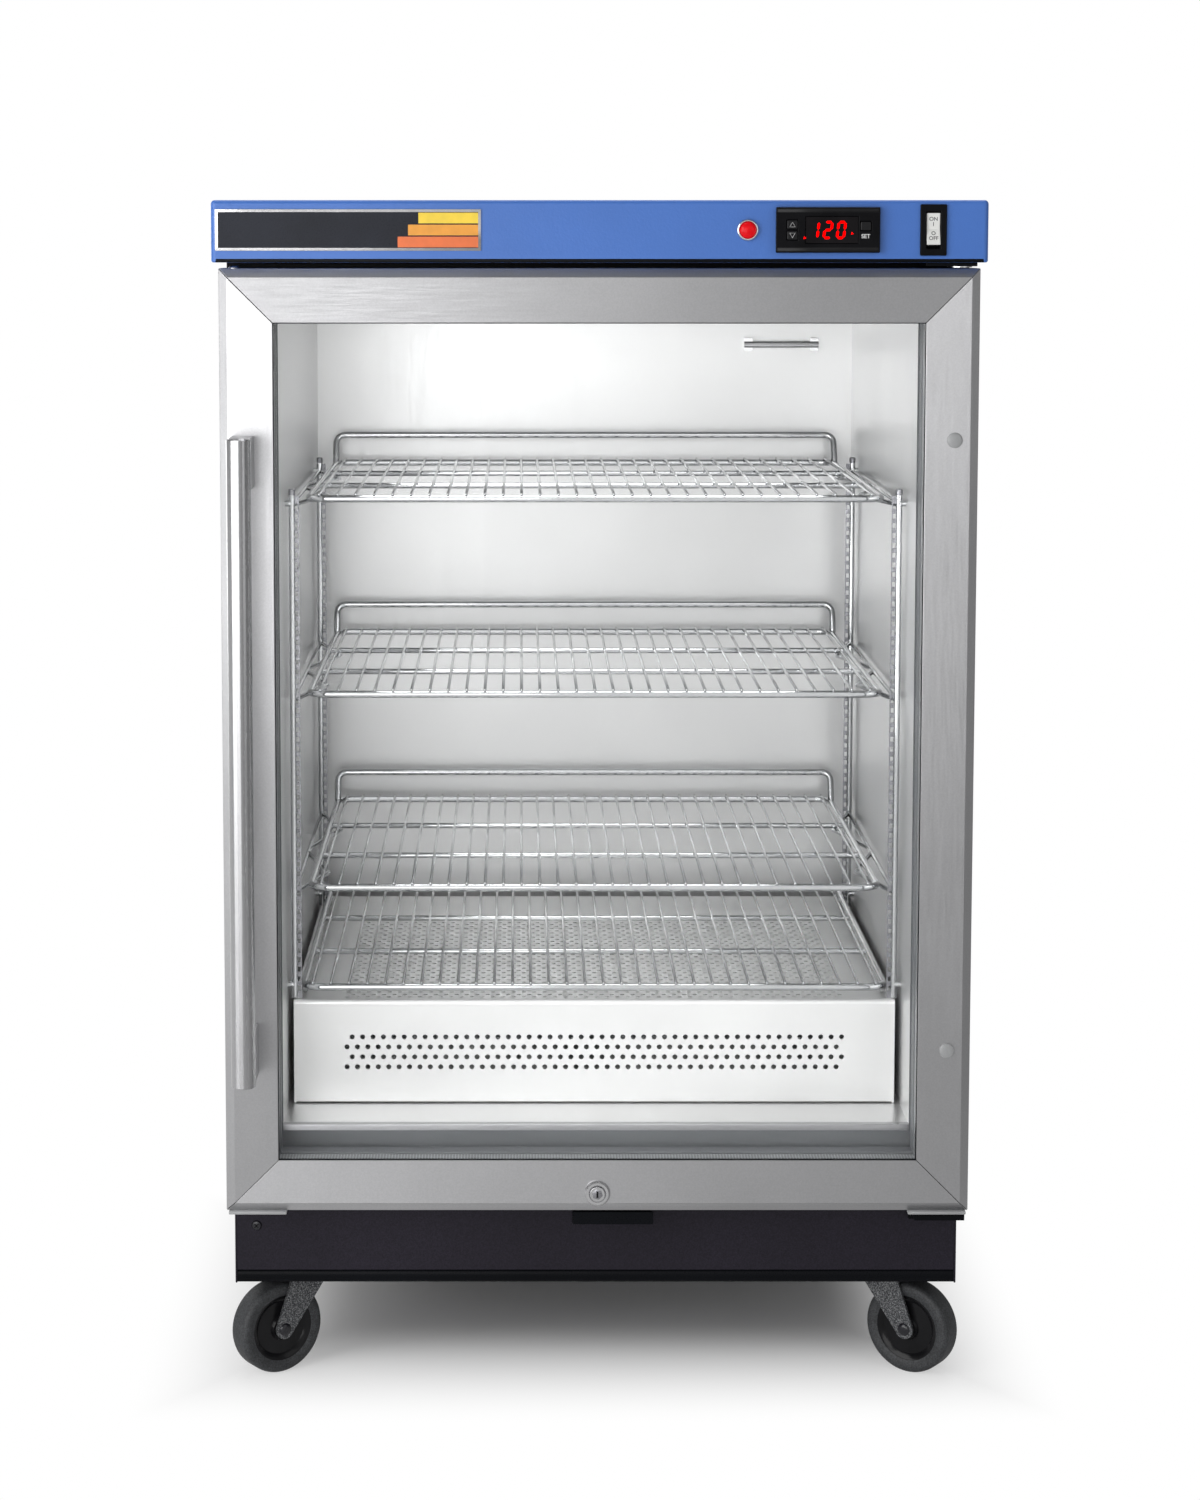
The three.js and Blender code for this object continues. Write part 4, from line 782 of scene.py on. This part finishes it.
def make_door_corners():
    """Thin grey end strips under the bottom corners of the door."""
    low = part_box("door_stile_left")[0]
    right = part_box("door_stile_right")[1].x
    inset, setback = mm(2, 0.5)
    size = Vector((46, 10, 2.6)) * MM
    for name, start in (("left", low.x + inset), ("right", right - inset - size.x)):
        corner = Vector((start, low.y + setback, low.z - size.z))
        mesh = bmesh.new()
        block(mesh, corner, corner + size, bevel=0.6 * MM)
        piece(f"door_corner_{name}", mesh, [pale_plastic], "door")


def make_glazing_shade():
    """A thin dark lining of the frame's opening in front of the outer pane: painted shade in that recess."""
    left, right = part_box("door_stile_left")[1].x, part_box("door_stile_right")[0].x
    bottom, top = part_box("door_rail_bottom")[1].z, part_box("door_rail_top")[0].z
    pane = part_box("outer_glass")[0].y
    setback, wall = mm(1, 0.6)
    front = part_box("door_stile_left")[0].y + setback
    opening = rectangle(left + wall, right - wall, bottom + wall, top - wall)
    mesh = bmesh.new()
    outline = rectangle(left, right, bottom, top)
    sheet(mesh, outline, [opening], BACK * front, ACROSS, UP, BACK * (pane - front))
    piece("glazing_shade", mesh, [shade_black], "door")


# Controls on the lid


def seven_segment(mesh, digit, corner, width, height, bar):
    """One lit digit, drawn in X and Z from its lower left corner."""
    lit = {"0": "abcdef", "1": "bc", "2": "abged"}[digit]
    half = height / 2
    gap = bar * 0.12
    lean = 0.12
    runs = {
        "a": ((0, height), (width, height)),
        "b": ((width, height), (width, half)),
        "c": ((width, half), (width, 0)),
        "d": ((0, 0), (width, 0)),
        "e": ((0, half), (0, 0)),
        "f": ((0, height), (0, half)),
        "g": ((0, half), (width, half)),
    }
    for name in lit:
        start, end = (Vector(point) for point in runs[name])
        way = (end - start).normalized()
        side = Vector((-way.y, way.x)) * bar / 2
        start, end = start + way * gap, end - way * gap
        tips = way * bar / 2
        outline = [start, start + tips + side, end - tips + side, end, end - tips - side, start + tips - side]
        leaning = [(point.x + point.y * lean, point.y) for point in outline]
        sheet(mesh, leaning, [], corner, ACROSS, UP, BACK * 2 * LEGEND_LIFT)


def first_hit(name, start, way):
    """Where a line first meets a node, and the normal there."""
    node = nodes[name]
    points = [node.matrix_world @ vert.co for vert in node.data.vertices]
    tree = BVHTree.FromPolygons(points, [face.vertices[:] for face in node.data.polygons])
    return tree.ray_cast(start, way)[:2]


def surface_at(name, x, z):
    """Where a line from the front first meets a node, and the normal there."""
    return first_hit(name, Vector((x, cad_box[0].y, z)), BACK)


def lettering(name, words, centre, normal, size, material, body):
    """Raised generic words that lie on a face with the given normal."""
    curve = bpy.data.curves.new(name, "FONT")
    curve.body = words
    curve.size = size
    curve.align_x = "CENTER"
    curve.align_y = "CENTER"
    curve.extrude = 0.04 * MM
    curve.offset = size * 0.008
    curve.materials.append(material)
    made = bpy.data.objects.new(name, curve)
    turn = Matrix((ACROSS, normal.cross(ACROSS), normal)).transposed().to_4x4()
    made.matrix_world = Matrix.Translation(centre + normal * LEGEND_LIFT) @ turn
    bpy.context.scene.collection.objects.link(made)
    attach(made, body)


def make_nameplate():
    """A bare plate: a bright rim, a dark field and stacked warm stripes at its right end."""
    low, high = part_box("nameplate")
    rim, depth = mm(2.2, 0.35)
    field_rise, stripe_rise = mm(0.02, 0.05)
    stripe_length, stagger, stripe_gap = mm(62, 8, 0.5)
    warm = [plate_orange, plate_amber, plate_yellow]
    left, right, bottom, top = low.x + rim, high.x - rim, low.z + rim, high.z - rim
    mesh = bmesh.new()
    block(mesh, low, high, bevel=0.3 * MM)
    block(mesh, (left, low.y - field_rise, bottom), (right, low.y + depth, top), material=1)
    height = (top - bottom) / len(warm)
    for i in range(len(warm)):
        start, foot = right - stripe_length + i * stagger, bottom + i * height
        near = (start, low.y - stripe_rise, foot + stripe_gap)
        block(mesh, near, (right, low.y + depth, foot + height - stripe_gap), material=2 + i)
    finishes = [plated_steel, plate_field, *warm]
    piece("nameplate_face", mesh, finishes, "cabinet", ["nameplate"])


def make_lamp():
    """A turned ring and the domed lens in it."""
    low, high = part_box("lamp_bezel")
    lens_low, lens_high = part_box("lamp_lens")
    centre = middle_of("lamp_bezel")
    centre.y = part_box("lid")[0].y
    radius, lens = (high.x - low.x) / 2, (lens_high.x - lens_low.x) / 2
    head, shank, depth = centre.y - low.y, radius * 0.85, -8 * MM
    bore, bore_edge = lens + 0.1 * MM, 0.6 * MM
    profile = [(radius, 0), (radius, head * 0.5), (radius * 0.93, head * 0.9), (radius * 0.86, head)]
    profile += [(bore + bore_edge, head), (bore, head * 0.7), (bore, depth), (shank, depth)]
    profile += [(shank, 0), (radius, 0)]
    mesh = bmesh.new()
    lathe(mesh, profile, centre, FRONT, sides=48)
    piece("lamp_ring", mesh, [plated_steel], "cabinet", ["lamp_bezel"], smooth=25)
    profile = dome(lens, head * 0.6, centre.y - lens_low.y) + [(lens, depth), (0, depth)]
    mesh = bmesh.new()
    lathe(mesh, profile, centre, FRONT)
    piece("lamp_dome", mesh, [red_lens], "cabinet", ["lamp_lens"])


def make_controller():
    """The controller's finishes, its arrows and its one word."""
    dress(black_plastic, "controller_case", bevel=0.8 * MM, segments=3)
    dress(smoked_window, "display_window")
    dress(gloss_black, "button_up", "button_down", "button_set", bevel=0.7 * MM, segments=3)
    make_controller_bars()
    make_display()
    half, height, stroke = mm(2.1, 1.8, 0.22)
    for name, tip in (("button_up", height), ("button_down", -height)):
        key = middle_of(name)
        key.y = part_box(name)[0].y - LEGEND_LIFT
        path = [key + ACROSS * x + UP * z for x, z in ((-half, -tip), (half, -tip), (0, tip))]
        mesh = bmesh.new()
        wire(mesh, path, stroke, sides=6, closed=True)
        piece(f"{name}_arrow", mesh, [legend_white], name)
    drop, letter = mm(7.9, 4.4)
    key = middle_of("button_set")
    legend = Vector((key.x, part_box("controller_case")[0].y, key.z - drop))
    lettering("set_legend", "SET", legend, FRONT, letter, legend_white, "cabinet")


def make_controller_bars():
    """Thin bars along the top and bottom of the controller's face."""
    low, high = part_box("controller_case")
    margin, height = mm(1, 3.2)
    front, rear = low.y - 0.25 * MM, low.y + 0.2 * MM
    mesh = bmesh.new()
    for z in (low.z + margin, high.z - margin - height):
        block(mesh, (low.x + margin, front, z), (high.x - margin, rear, z + height), bevel=0.2 * MM)
    piece("controller_bars", mesh, [gloss_black], "cabinet")


def make_display():
    """The lit number and two small lit marks."""
    low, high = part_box("display_window")
    width, height, bar, pitch = mm(5.2, 12.1, 2, 10.2)
    margin, mark, sunk = 3.4 * MM, 1.3 * MM, -2 * LEGEND_LIFT
    mark_places = ((-4.4 * MM, 0), (3 * pitch + 1.5 * MM, 3.4 * MM))
    base = Vector((low.x + margin, low.y - LEGEND_LIFT, (low.z + high.z - height) / 2))
    mesh = bmesh.new()
    for i, digit in enumerate("120"):
        seven_segment(mesh, digit, base + ACROSS * i * pitch, width, height, bar)
    for x, z in mark_places:
        profile = [(0, 0), (mark, 0), (mark, sunk), (0, sunk)]
        lathe(mesh, profile, base + ACROSS * x + UP * z, FRONT, sides=3)
    piece("display_digits", mesh, [display_red], "cabinet")


def make_switch():
    """The switch's finishes, and the words and marks on its rocker."""
    dress(black_plastic, "switch_bezel", bevel=0.8 * MM, segments=3)
    dress(white_plastic, "switch_rocker", bevel=0.4 * MM)
    centre = middle_of("switch_rocker")
    letter = 4.2 * MM
    words = [("on_word", "ON", 7.6 * MM), ("on_mark", "I", 3.6 * MM)]
    words += [("off_mark", "O", -3.4 * MM), ("off_word", "OFF", -7.2 * MM)]
    for name, text, rise in words:
        place, normal = surface_at("switch_rocker", centre.x, centre.z + rise)
        lettering(name, text, place, normal, letter, legend_black, "switch_rocker")


# Lid, rear cover and screws

VENT_COUNT = 12
VENT_PITCH = 14 * MM
VENT_WIDTH = 200 * MM
VENT_DROP = 150 * MM
VENT_SHEET = 1.6 * MM


def screw_head(mesh, centre, facing, radius, height):
    """A pan head with a crossed recess shown as two dark bars."""
    profile = [(0, -FOOT_SINK), (radius, -FOOT_SINK), (radius, 0), (radius * 0.97, height * 0.35)]
    profile += [(radius * 0.8, height * 0.8), (radius * 0.45, height), (0, height)]
    lathe(mesh, profile, centre, facing, sides=20)
    across = facing.orthogonal().normalized()
    up = facing.cross(across)
    lift = facing * 0.05 * MM
    top = centre + facing * height + lift
    long, thin = radius * 0.55, radius * 0.12
    bar = rectangle(-long, long, -thin, thin)
    for along, aside in ((across, up), (up, across)):
        sheet(mesh, bar, [], top, along, aside, -3 * lift, material=1)


def make_screws(name, places, facing, radius, height, body="cabinet", head=screw_steel):
    mesh = bmesh.new()
    for place in places:
        screw_head(mesh, place, facing, radius, height)
    piece(name, mesh, [head, gloss_black], body)


def lid_openings():
    """Holes in the lid's front for the controller, the switch and the lamp."""
    openings = []
    for name, cover in (("controller_case", 2.5 * MM), ("switch_bezel", 1.2 * MM)):
        low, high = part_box(name)
        openings.append(rectangle(low.x + cover, high.x - cover, low.z + cover, high.z - cover))
    low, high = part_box("lamp_bezel")
    lamp, cover = middle_of("lamp_bezel"), 0.6 * MM
    openings.append(arc((lamp.x, lamp.z), (high.x - low.x) / 2 - cover, 0, 360, 32)[:-1])
    return openings


def make_lid():
    """The painted lid: soft bends along its edges, with openings for the controls in its front."""
    low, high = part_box("lid")
    middle, size = middle_of("lid"), high - low
    corner, bend, hem, wall = mm(4, 3.2, 1.8, 1.5)
    flange, front_flange = mm(14, 60)
    steps = 6
    turns = quarter_turn(steps)
    levels = [(hem * (1 - math.sin(turn)), low.z + hem * (1 - math.cos(turn))) for turn in turns]
    levels += [(bend * (1 - math.cos(turn)), high.z - bend * (1 - math.sin(turn))) for turn in turns]
    brim = rounded_box(size.x - 2 * flange, size.y - flange - front_flange, corner, steps)
    brim_y = middle.y + (front_flange - flange) / 2
    mesh = bmesh.new()
    rings = [[mesh.verts.new((middle.x + x, brim_y + y, low.z)) for x, y in brim]]
    for inset, z in levels:
        outline = rounded_box(size.x - 2 * inset, size.y - 2 * inset, corner - inset, steps)
        rings.append([mesh.verts.new((middle.x + x, middle.y + y, z)) for x, y in outline])
    walls = [join(mesh, below, above) for below, above in zip(rings, rings[1:])]
    mesh.faces.new(rings[-1])
    upright, front_left = steps + 1, 3 * (steps + 1) - 1
    mesh.faces.remove(walls[upright][front_left])
    start, end = rings[upright][front_left].co, rings[upright + 1][front_left + 1].co
    fascia = rectangle(start.x, end.x, start.z, end.z)
    filled(mesh, fascia, lid_openings(), BACK * low.y, ACROSS, UP)
    clean(mesh)
    bmesh.ops.solidify(mesh, geom=mesh.faces[:], thickness=wall)
    made = piece("lid_sheet", mesh, [blue_paint], "cabinet", ["lid"])
    made.modifiers.new("flat_faces", "WEIGHTED_NORMAL").keep_sharp = True


def make_lid_shade():
    """A black strip along the front of the lid's lower rim: painted shade along the lid's lower edge."""
    low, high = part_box("lid")
    height, inset, proud = mm(3.2, 3.5, 0.1)
    corner = (low.x + inset, low.y - proud, low.z + proud)
    mesh = bmesh.new()
    block(mesh, corner, (high.x - inset, low.y + inset, low.z + height), bevel=0.6 * MM)
    piece("lid_shade", mesh, [shade_black], "cabinet")


def make_rear_louvres():
    """Slats that lean inwards behind the slots of the rear cover."""
    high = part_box("rear_cover")[1]
    rise, fall, lean, gauge, overlap = mm(3.4, 4, 3, 0.8, 3)
    half = VENT_WIDTH / 2 + overlap
    y = high.y - VENT_SHEET
    mesh = bmesh.new()
    for i in range(VENT_COUNT):
        z = high.z - VENT_DROP - i * VENT_PITCH
        slat = [(y, z + rise), (y - gauge, z + rise), (y - gauge - lean, z - fall), (y - lean, z - fall)]
        strip(mesh, slat, -half, half)
    piece("rear_louvres", mesh, [black_paint], "cabinet")


def make_body_screws():
    """Screws in the plinth, the lock strike and the rear cover."""
    low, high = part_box("plinth_panel")
    side_gap, top_gap = mm(16, 38)
    place = Vector((low.x + side_gap, low.y, high.z - top_gap))
    make_screws("plinth_screws", [place], FRONT, radius=4.2 * MM, height=2 * MM, head=dark_screw)
    inset, end_inset, cover_gauge = mm(12, 14, 2)
    low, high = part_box("lock_strike")
    middle = middle_of("lock_strike").z
    places = [surface_at("lock_strike", x, middle)[0] for x in (low.x + inset, high.x - inset)]
    make_screws("strike_screws", places, FRONT, radius=2.6 * MM, height=1.2 * MM)
    low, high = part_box("rear_cover")
    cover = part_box("outer_shell")[1].y + cover_gauge
    middle = middle_of("rear_cover").z
    places = []
    for x in (low.x + inset, 0, high.x - inset):
        for z in (low.z + end_inset, middle, high.z - end_inset):
            if x or z != middle:
                places.append(Vector((x, cover, z)))
    make_screws("rear_screws", places, BACK, radius=3.6 * MM, height=1.8 * MM)


def make_plinth_lip():
    """The rolled lower edge of the plinth, a little behind its face, in the darker black as painted shade."""
    low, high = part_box("plinth_panel")
    height, setback, bulge = mm(10.6, 3, 2.4)
    section = []
    for y, z in arc((0, 0), 1, 90, 270, 10):
        section.append((low.y + setback + y * bulge, low.z + (1 + z) * height / 2))
    mesh = bmesh.new()
    strip(mesh, section, low.x, high.x)
    piece("plinth_lip", mesh, [shade_black], "cabinet")


def make_mouth():
    """A grey strip round the chamber's mouth, a dark sheet above it as painted shade, and the folded edge of
    the floor in a darker finish as painted shade.
    """
    left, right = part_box("ladder_left")[0].x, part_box("ladder_right")[1].x
    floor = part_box("heater_cover")[0].z
    top = first_hit("inner_liner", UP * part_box("shelf_3")[1].z, UP)[0].z
    low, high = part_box("inner_liner")
    seam_gap, strip_gauge = mm(1, 0.1)
    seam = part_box("door_gasket")[1].z + seam_gap
    mouth = rectangle(left, right, floor, top)
    strips = [("breaker_strip", low.z, seam, [mouth], grey_plastic, "grey_plastic")]
    # The dark sheet above the gasket is painted shade in the gap under the lid.
    strips.append(("gap_shade_strip", seam, high.z, [], shade_black, "black_paint"))
    for name, bottom, head, holes, material, slot in strips:
        outline = rectangle(low.x, high.x, bottom, head)
        mesh = bmesh.new()
        sheet(mesh, outline, holes, BACK * low.y, ACROSS, UP, FRONT * strip_gauge)
        piece(name, mesh, [material], "cabinet")
    bend, drop, gauge, tail = mm(1.0, 5, 0.6, 6)
    crest, nose = floor + gauge / 2, low.y - gauge
    section = [(low.y + tail, floor), (low.y + tail, crest)]
    section += arc((nose + bend, crest - bend), bend, 90, 180, 6)
    section += [(nose, crest - drop), (low.y, crest - drop), (low.y, floor)]
    mesh = bmesh.new()
    strip(mesh, section, left, right)
    # The fold takes the rails' darker brushed finish instead of the liner's steel: painted shade on its front
    # face.
    piece("floor_lip", mesh, [frame_across], "cabinet")


def make_hinge_pieces():
    """A bright washer on the top hinge pin, and the screw on the door's other top corner."""
    pin = Vector(joints["door_open"]["pos_m"])
    door_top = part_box("door_rail_top")[1].z
    bore, rim, gauge, gap = mm(8.1, 9.6, 1.2, 0.6)
    washer = [(bore, 0), (rim, 0), (rim, gauge), (bore, gauge), (bore, 0)]
    mesh = bmesh.new()
    lathe(mesh, washer, (pin.x, pin.y, door_top + gap), UP, sides=32)
    piece("hinge_washer", mesh, [plated_steel], "cabinet")
    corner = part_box("door_stile_left")[0]
    side_gap, front_gap = mm(12, 9)
    place = Vector((corner.x + side_gap, corner.y + front_gap, door_top))
    make_screws("door_top_screw", [place], UP, radius=4.5 * MM, height=2 * MM, body="door")


# Casters


def caster_frame(corner):
    """A frame on the floor under the kingpin, X along the trail, Y along the axle; and the axle in it."""
    pivot = Vector(joints[f"swivel_{corner}"]["pos_m"])
    axle = Vector(joints[f"roll_{corner}"]["pos_m"])
    foot = Vector((pivot.x, pivot.y, 0))
    along = Vector((axle.x - pivot.x, axle.y - pivot.y, 0))
    trail = along.length
    along.normalize()
    turn = Matrix((along, UP.cross(along), UP)).transposed().to_4x4()
    return Matrix.Translation(foot) @ turn, Vector((trail, 0, axle.z))


def make_fork(corner):
    """Two cheeks under a round crown, with the axle and its rivets."""
    node = f"caster_fork_{corner}"
    place, axle = caster_frame(corner)
    crown_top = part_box(node)[1].z
    inner, gauge, eye, half = mm(11.8, 2.5, 8, 17)
    crown_height, overlap, rear_drop, front_drop = mm(6, 1, 8, 6)
    crown_low = crown_top - crown_height
    outline = [(-half, crown_low + overlap), (-half, crown_low - rear_drop)]
    outline += arc((axle.x, axle.z), eye, start=207, end=378, steps=14)
    outline += [(half, crown_low - front_drop), (half, crown_low + overlap)]
    mesh = bmesh.new()
    for y in (-inner - gauge, inner):
        sheet(mesh, outline, [], BACK * y, ACROSS, UP, BACK * gauge)
    soften_edges(mesh, width=0.5 * MM)
    bore, crown, edge, low_edge = mm(5.4, 23, 1, 1.5)
    profile = [(bore, crown_low), (crown - low_edge, crown_low), (crown, crown_low + low_edge)]
    profile += [(crown, crown_top - edge), (crown - edge, crown_top), (bore, crown_top), (bore, crown_low)]
    lathe(mesh, profile, Vector(), UP)
    reach, pin = inner + gauge, 4 * MM
    rivet = [mm(0, 2), mm(2.6, 1.9), mm(4.4, 1.3), mm(5.2, 0.4)]
    rivet += [(rivet[-1][0], -FOOT_SINK), (0, -FOOT_SINK)]
    for facing in (FRONT, BACK):
        lathe(mesh, rivet, axle + facing * reach, facing, sides=28, material=1)
    lathe(mesh, [(0, -reach), (pin, -reach), (pin, reach), (0, reach)], axle, BACK, sides=20, material=1)
    mesh.transform(place)
    piece(f"caster_fork_{corner}_plate", mesh, [fork_steel, dark_screw], node, [node])


def make_wheel(corner):
    """A tyre with round shoulders on a dished hub."""
    node = f"caster_wheel_{corner}"
    place, axle = caster_frame(corner)
    radius = axle.z
    half, shoulder, bead, wall, bead_sunk = mm(11, 4.5, 27, 30, 1.2)
    tyre = [(bead, bead_sunk - half), (wall, -half)]
    for turn in quarter_turn(steps=6):
        rise, run = shoulder * (1 - math.sin(turn)), shoulder * (1 - math.cos(turn))
        tyre.append((radius - rise, run - half))
    dish = [mm(4.4, 0.4), mm(9, 0.4), mm(10.5, 3), mm(22, 4), mm(25, 1.6), mm(27.2, 1.2)]
    hub = [(size, half - sunk) for size, sunk in dish]
    mesh = bmesh.new()
    lathe(mesh, mirrored(tyre), axle, BACK, sides=72)
    lathe(mesh, mirrored(hub), axle, BACK, sides=60, material=1)
    mesh.transform(place)
    piece(f"{node}_tyre", mesh, [tyre_rubber, gloss_black], node, [node], smooth=30)


# Stage, light and camera

AMBIENT = 0.25
FRONT_SPAN = (0.6, 0.95)
WORLD_REFLECTION = (0.18, 0.78)
FLOOR_REFLECTION = (0.8, 0.3)
FLOOR_REACH = 1.2
FLOOR_HALF = 12
GLOW_DROP = 0.08
SHADOW_SPAN = {"X": (0.20, 0.38), "Y": (0.06, 0.30)}
WHOLE = (0.0, 1.0)


def make_floor():
    """A pale floor that keeps the shadow near the cabinet and runs out to white."""
    mesh = bmesh.new()
    bmesh.ops.create_grid(mesh, x_segments=1, y_segments=1, size=FLOOR_HALF)
    data = bpy.data.meshes.new("floor")
    mesh.to_mesh(data)
    mesh.free()
    floor = bpy.data.objects.new("floor", data)
    bpy.context.scene.collection.objects.link(floor)
    shader = new_shader("floor_white")
    flat = shader.node("SeparateXYZ", {"Vector": shader.place()})
    edges = []
    for axis, span in SHADOW_SPAN.items():
        away = shader.maths("ABSOLUTE", flat[axis])
        edges.append(shader.ranged(away, span, WHOLE, interpolation_type="SMOOTHSTEP"))
    path = shader.node("LightPath", {})
    glossy, through = path["Is Glossy Ray"], path["Is Transmission Ray"]
    seen = shader.maths("MAXIMUM", path["Is Camera Ray"], glossy)
    seen = shader.maths("MAXIMUM", seen, through)
    white = shader.maths("MULTIPLY", shader.maths("MAXIMUM", *edges), seen)
    reflected = shader.ranged(flat["X"], (-FLOOR_REACH, FLOOR_REACH), FLOOR_REFLECTION)
    bounced = shader.maths("SUBTRACT", glossy, through, use_clamp=True)
    level = shader.ranged(bounced, WHOLE, (1.0, reflected))
    shader.mix(white, shader.node("Emission", {"Color": WHITE, "Strength": level})["Emission"])
    pale = shader.paint(Base_Color=(0.88, 0.88, 0.88, 1), Roughness=0.9, Specular_IOR_Level=0.1)
    data.materials.append(pale)


def make_world():
    """White behind the cabinet, and for reflections a white that falls off to the sides and upwards."""
    world = bpy.data.worlds.new("studio")
    shader = Shader(world)
    path = shader.node("LightPath", {})
    direction = shader.node("SeparateXYZ", {"Vector": shader.node("TexCoord", {})["Generated"]})
    reflected = shader.ranged(shader.maths("ABSOLUTE", direction["Y"]), FRONT_SPAN, WORLD_REFLECTION)
    seen = shader.maths("MAXIMUM", path["Is Camera Ray"], path["Is Transmission Ray"])
    lit = shader.ranged(seen, WHOLE, (AMBIENT, 1.0))
    glossy = shader.maths("MULTIPLY", path["Is Glossy Ray"], reflected)
    strength = shader.maths("MAXIMUM", lit, glossy)
    shader.put(shader.tree.nodes["Background"], {"Color": WHITE, "Strength": strength})
    bpy.context.scene.world = world


def soft_light(name, place, target, size, power, spread=180):
    """A soft box at a place, turned to a target; its beam's spread is in degrees."""
    lamp = bpy.data.lights.new(name, "AREA")
    lamp.shape = "RECTANGLE"
    lamp.size, lamp.size_y = size
    lamp.energy = power
    lamp.spread = math.radians(spread)
    made = bpy.data.objects.new(name, lamp)
    aim = Vector(target) - Vector(place)
    made.matrix_world = Matrix.Translation(place) @ aim.to_track_quat("-Z", "Y").to_matrix().to_4x4()
    bpy.context.scene.collection.objects.link(made)


def make_lights():
    soft_light("key_left", (-1.9, -1.75, 1.15), (0, -0.2, 0.7), (1.6, 2.0), 36)
    soft_light("left_panel", (-0.8, -2.8, 0.86), (-0.2, -0.2, 0.8), (1.4, 1.4), 16)
    soft_light("fill_right", (1.9, -2.0, 1.2), (0, 0, 0.5), (1.2, 1.8), 5)
    soft_light("rim_left", (-2.2, 2.5, 1.0), (-0.3, -0.25, 0.7), (1.2, 1.6), 16)
    soft_light("overhead", (0, 0.7, 2.9), (0, 0, 0), (2.4, 2.2), 36)
    glow_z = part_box("inner_liner")[1].z - GLOW_DROP
    soft_light("chamber_glow", (0, -0.12, glow_z), (0, 0.05, 0.3), (0.4, 0.2), 0.36)
    soft_light("rack_glow", (0, -0.05, glow_z), (0, 0, 0.3), (0.4, 0.25), 0.3, spread=60)


IMAGE_HEIGHT = 1500
CAMERA_DISTANCE = 2.4
CAMERA_HEIGHT = 0.935
CAMERA_X = -0.063
FOCAL_PIXELS = 3098
SHIFT_PIXELS = (82, 224)
TILT = math.radians(5.41)


def make_camera():
    """The photograph's view: level with the lid, tipped down a little, with a small shift."""
    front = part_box("door_stile_left")[0].y
    data = bpy.data.cameras.new("camera")
    data.sensor_width = 36
    data.lens = FOCAL_PIXELS / IMAGE_HEIGHT * data.sensor_width
    data.shift_x = SHIFT_PIXELS[0] / IMAGE_HEIGHT
    data.shift_y = -SHIFT_PIXELS[1] / IMAGE_HEIGHT
    made = bpy.data.objects.new("camera", data)
    made.location = (CAMERA_X, front - CAMERA_DISTANCE, CAMERA_HEIGHT)
    made.rotation_euler = (math.pi / 2 - TILT, 0, 0)
    bpy.context.scene.collection.objects.link(made)
    bpy.context.scene.camera = made


dress_body()
dress_door()
for shelf_name in SHELVES:
    make_shelf(shelf_name)
make_rack()
make_ladder("ladder_left", -1)
make_ladder("ladder_right", 1)
make_heater_cover()
make_handle()
make_plug("cover_plug_top")
make_plug("cover_plug_bottom")
make_lock()
make_door_corners()
make_glazing_shade()
make_lid()
make_lid_shade()
make_nameplate()
make_lamp()
make_controller()
make_switch()
make_rear_louvres()
make_body_screws()
make_plinth_lip()
make_mouth()
make_hinge_pieces()
for caster_corner in CORNERS:
    make_fork(caster_corner)
    make_wheel(caster_corner)
make_floor()
make_world()
make_lights()
make_camera()
bpy.context.scene.view_settings.view_transform = "Standard"
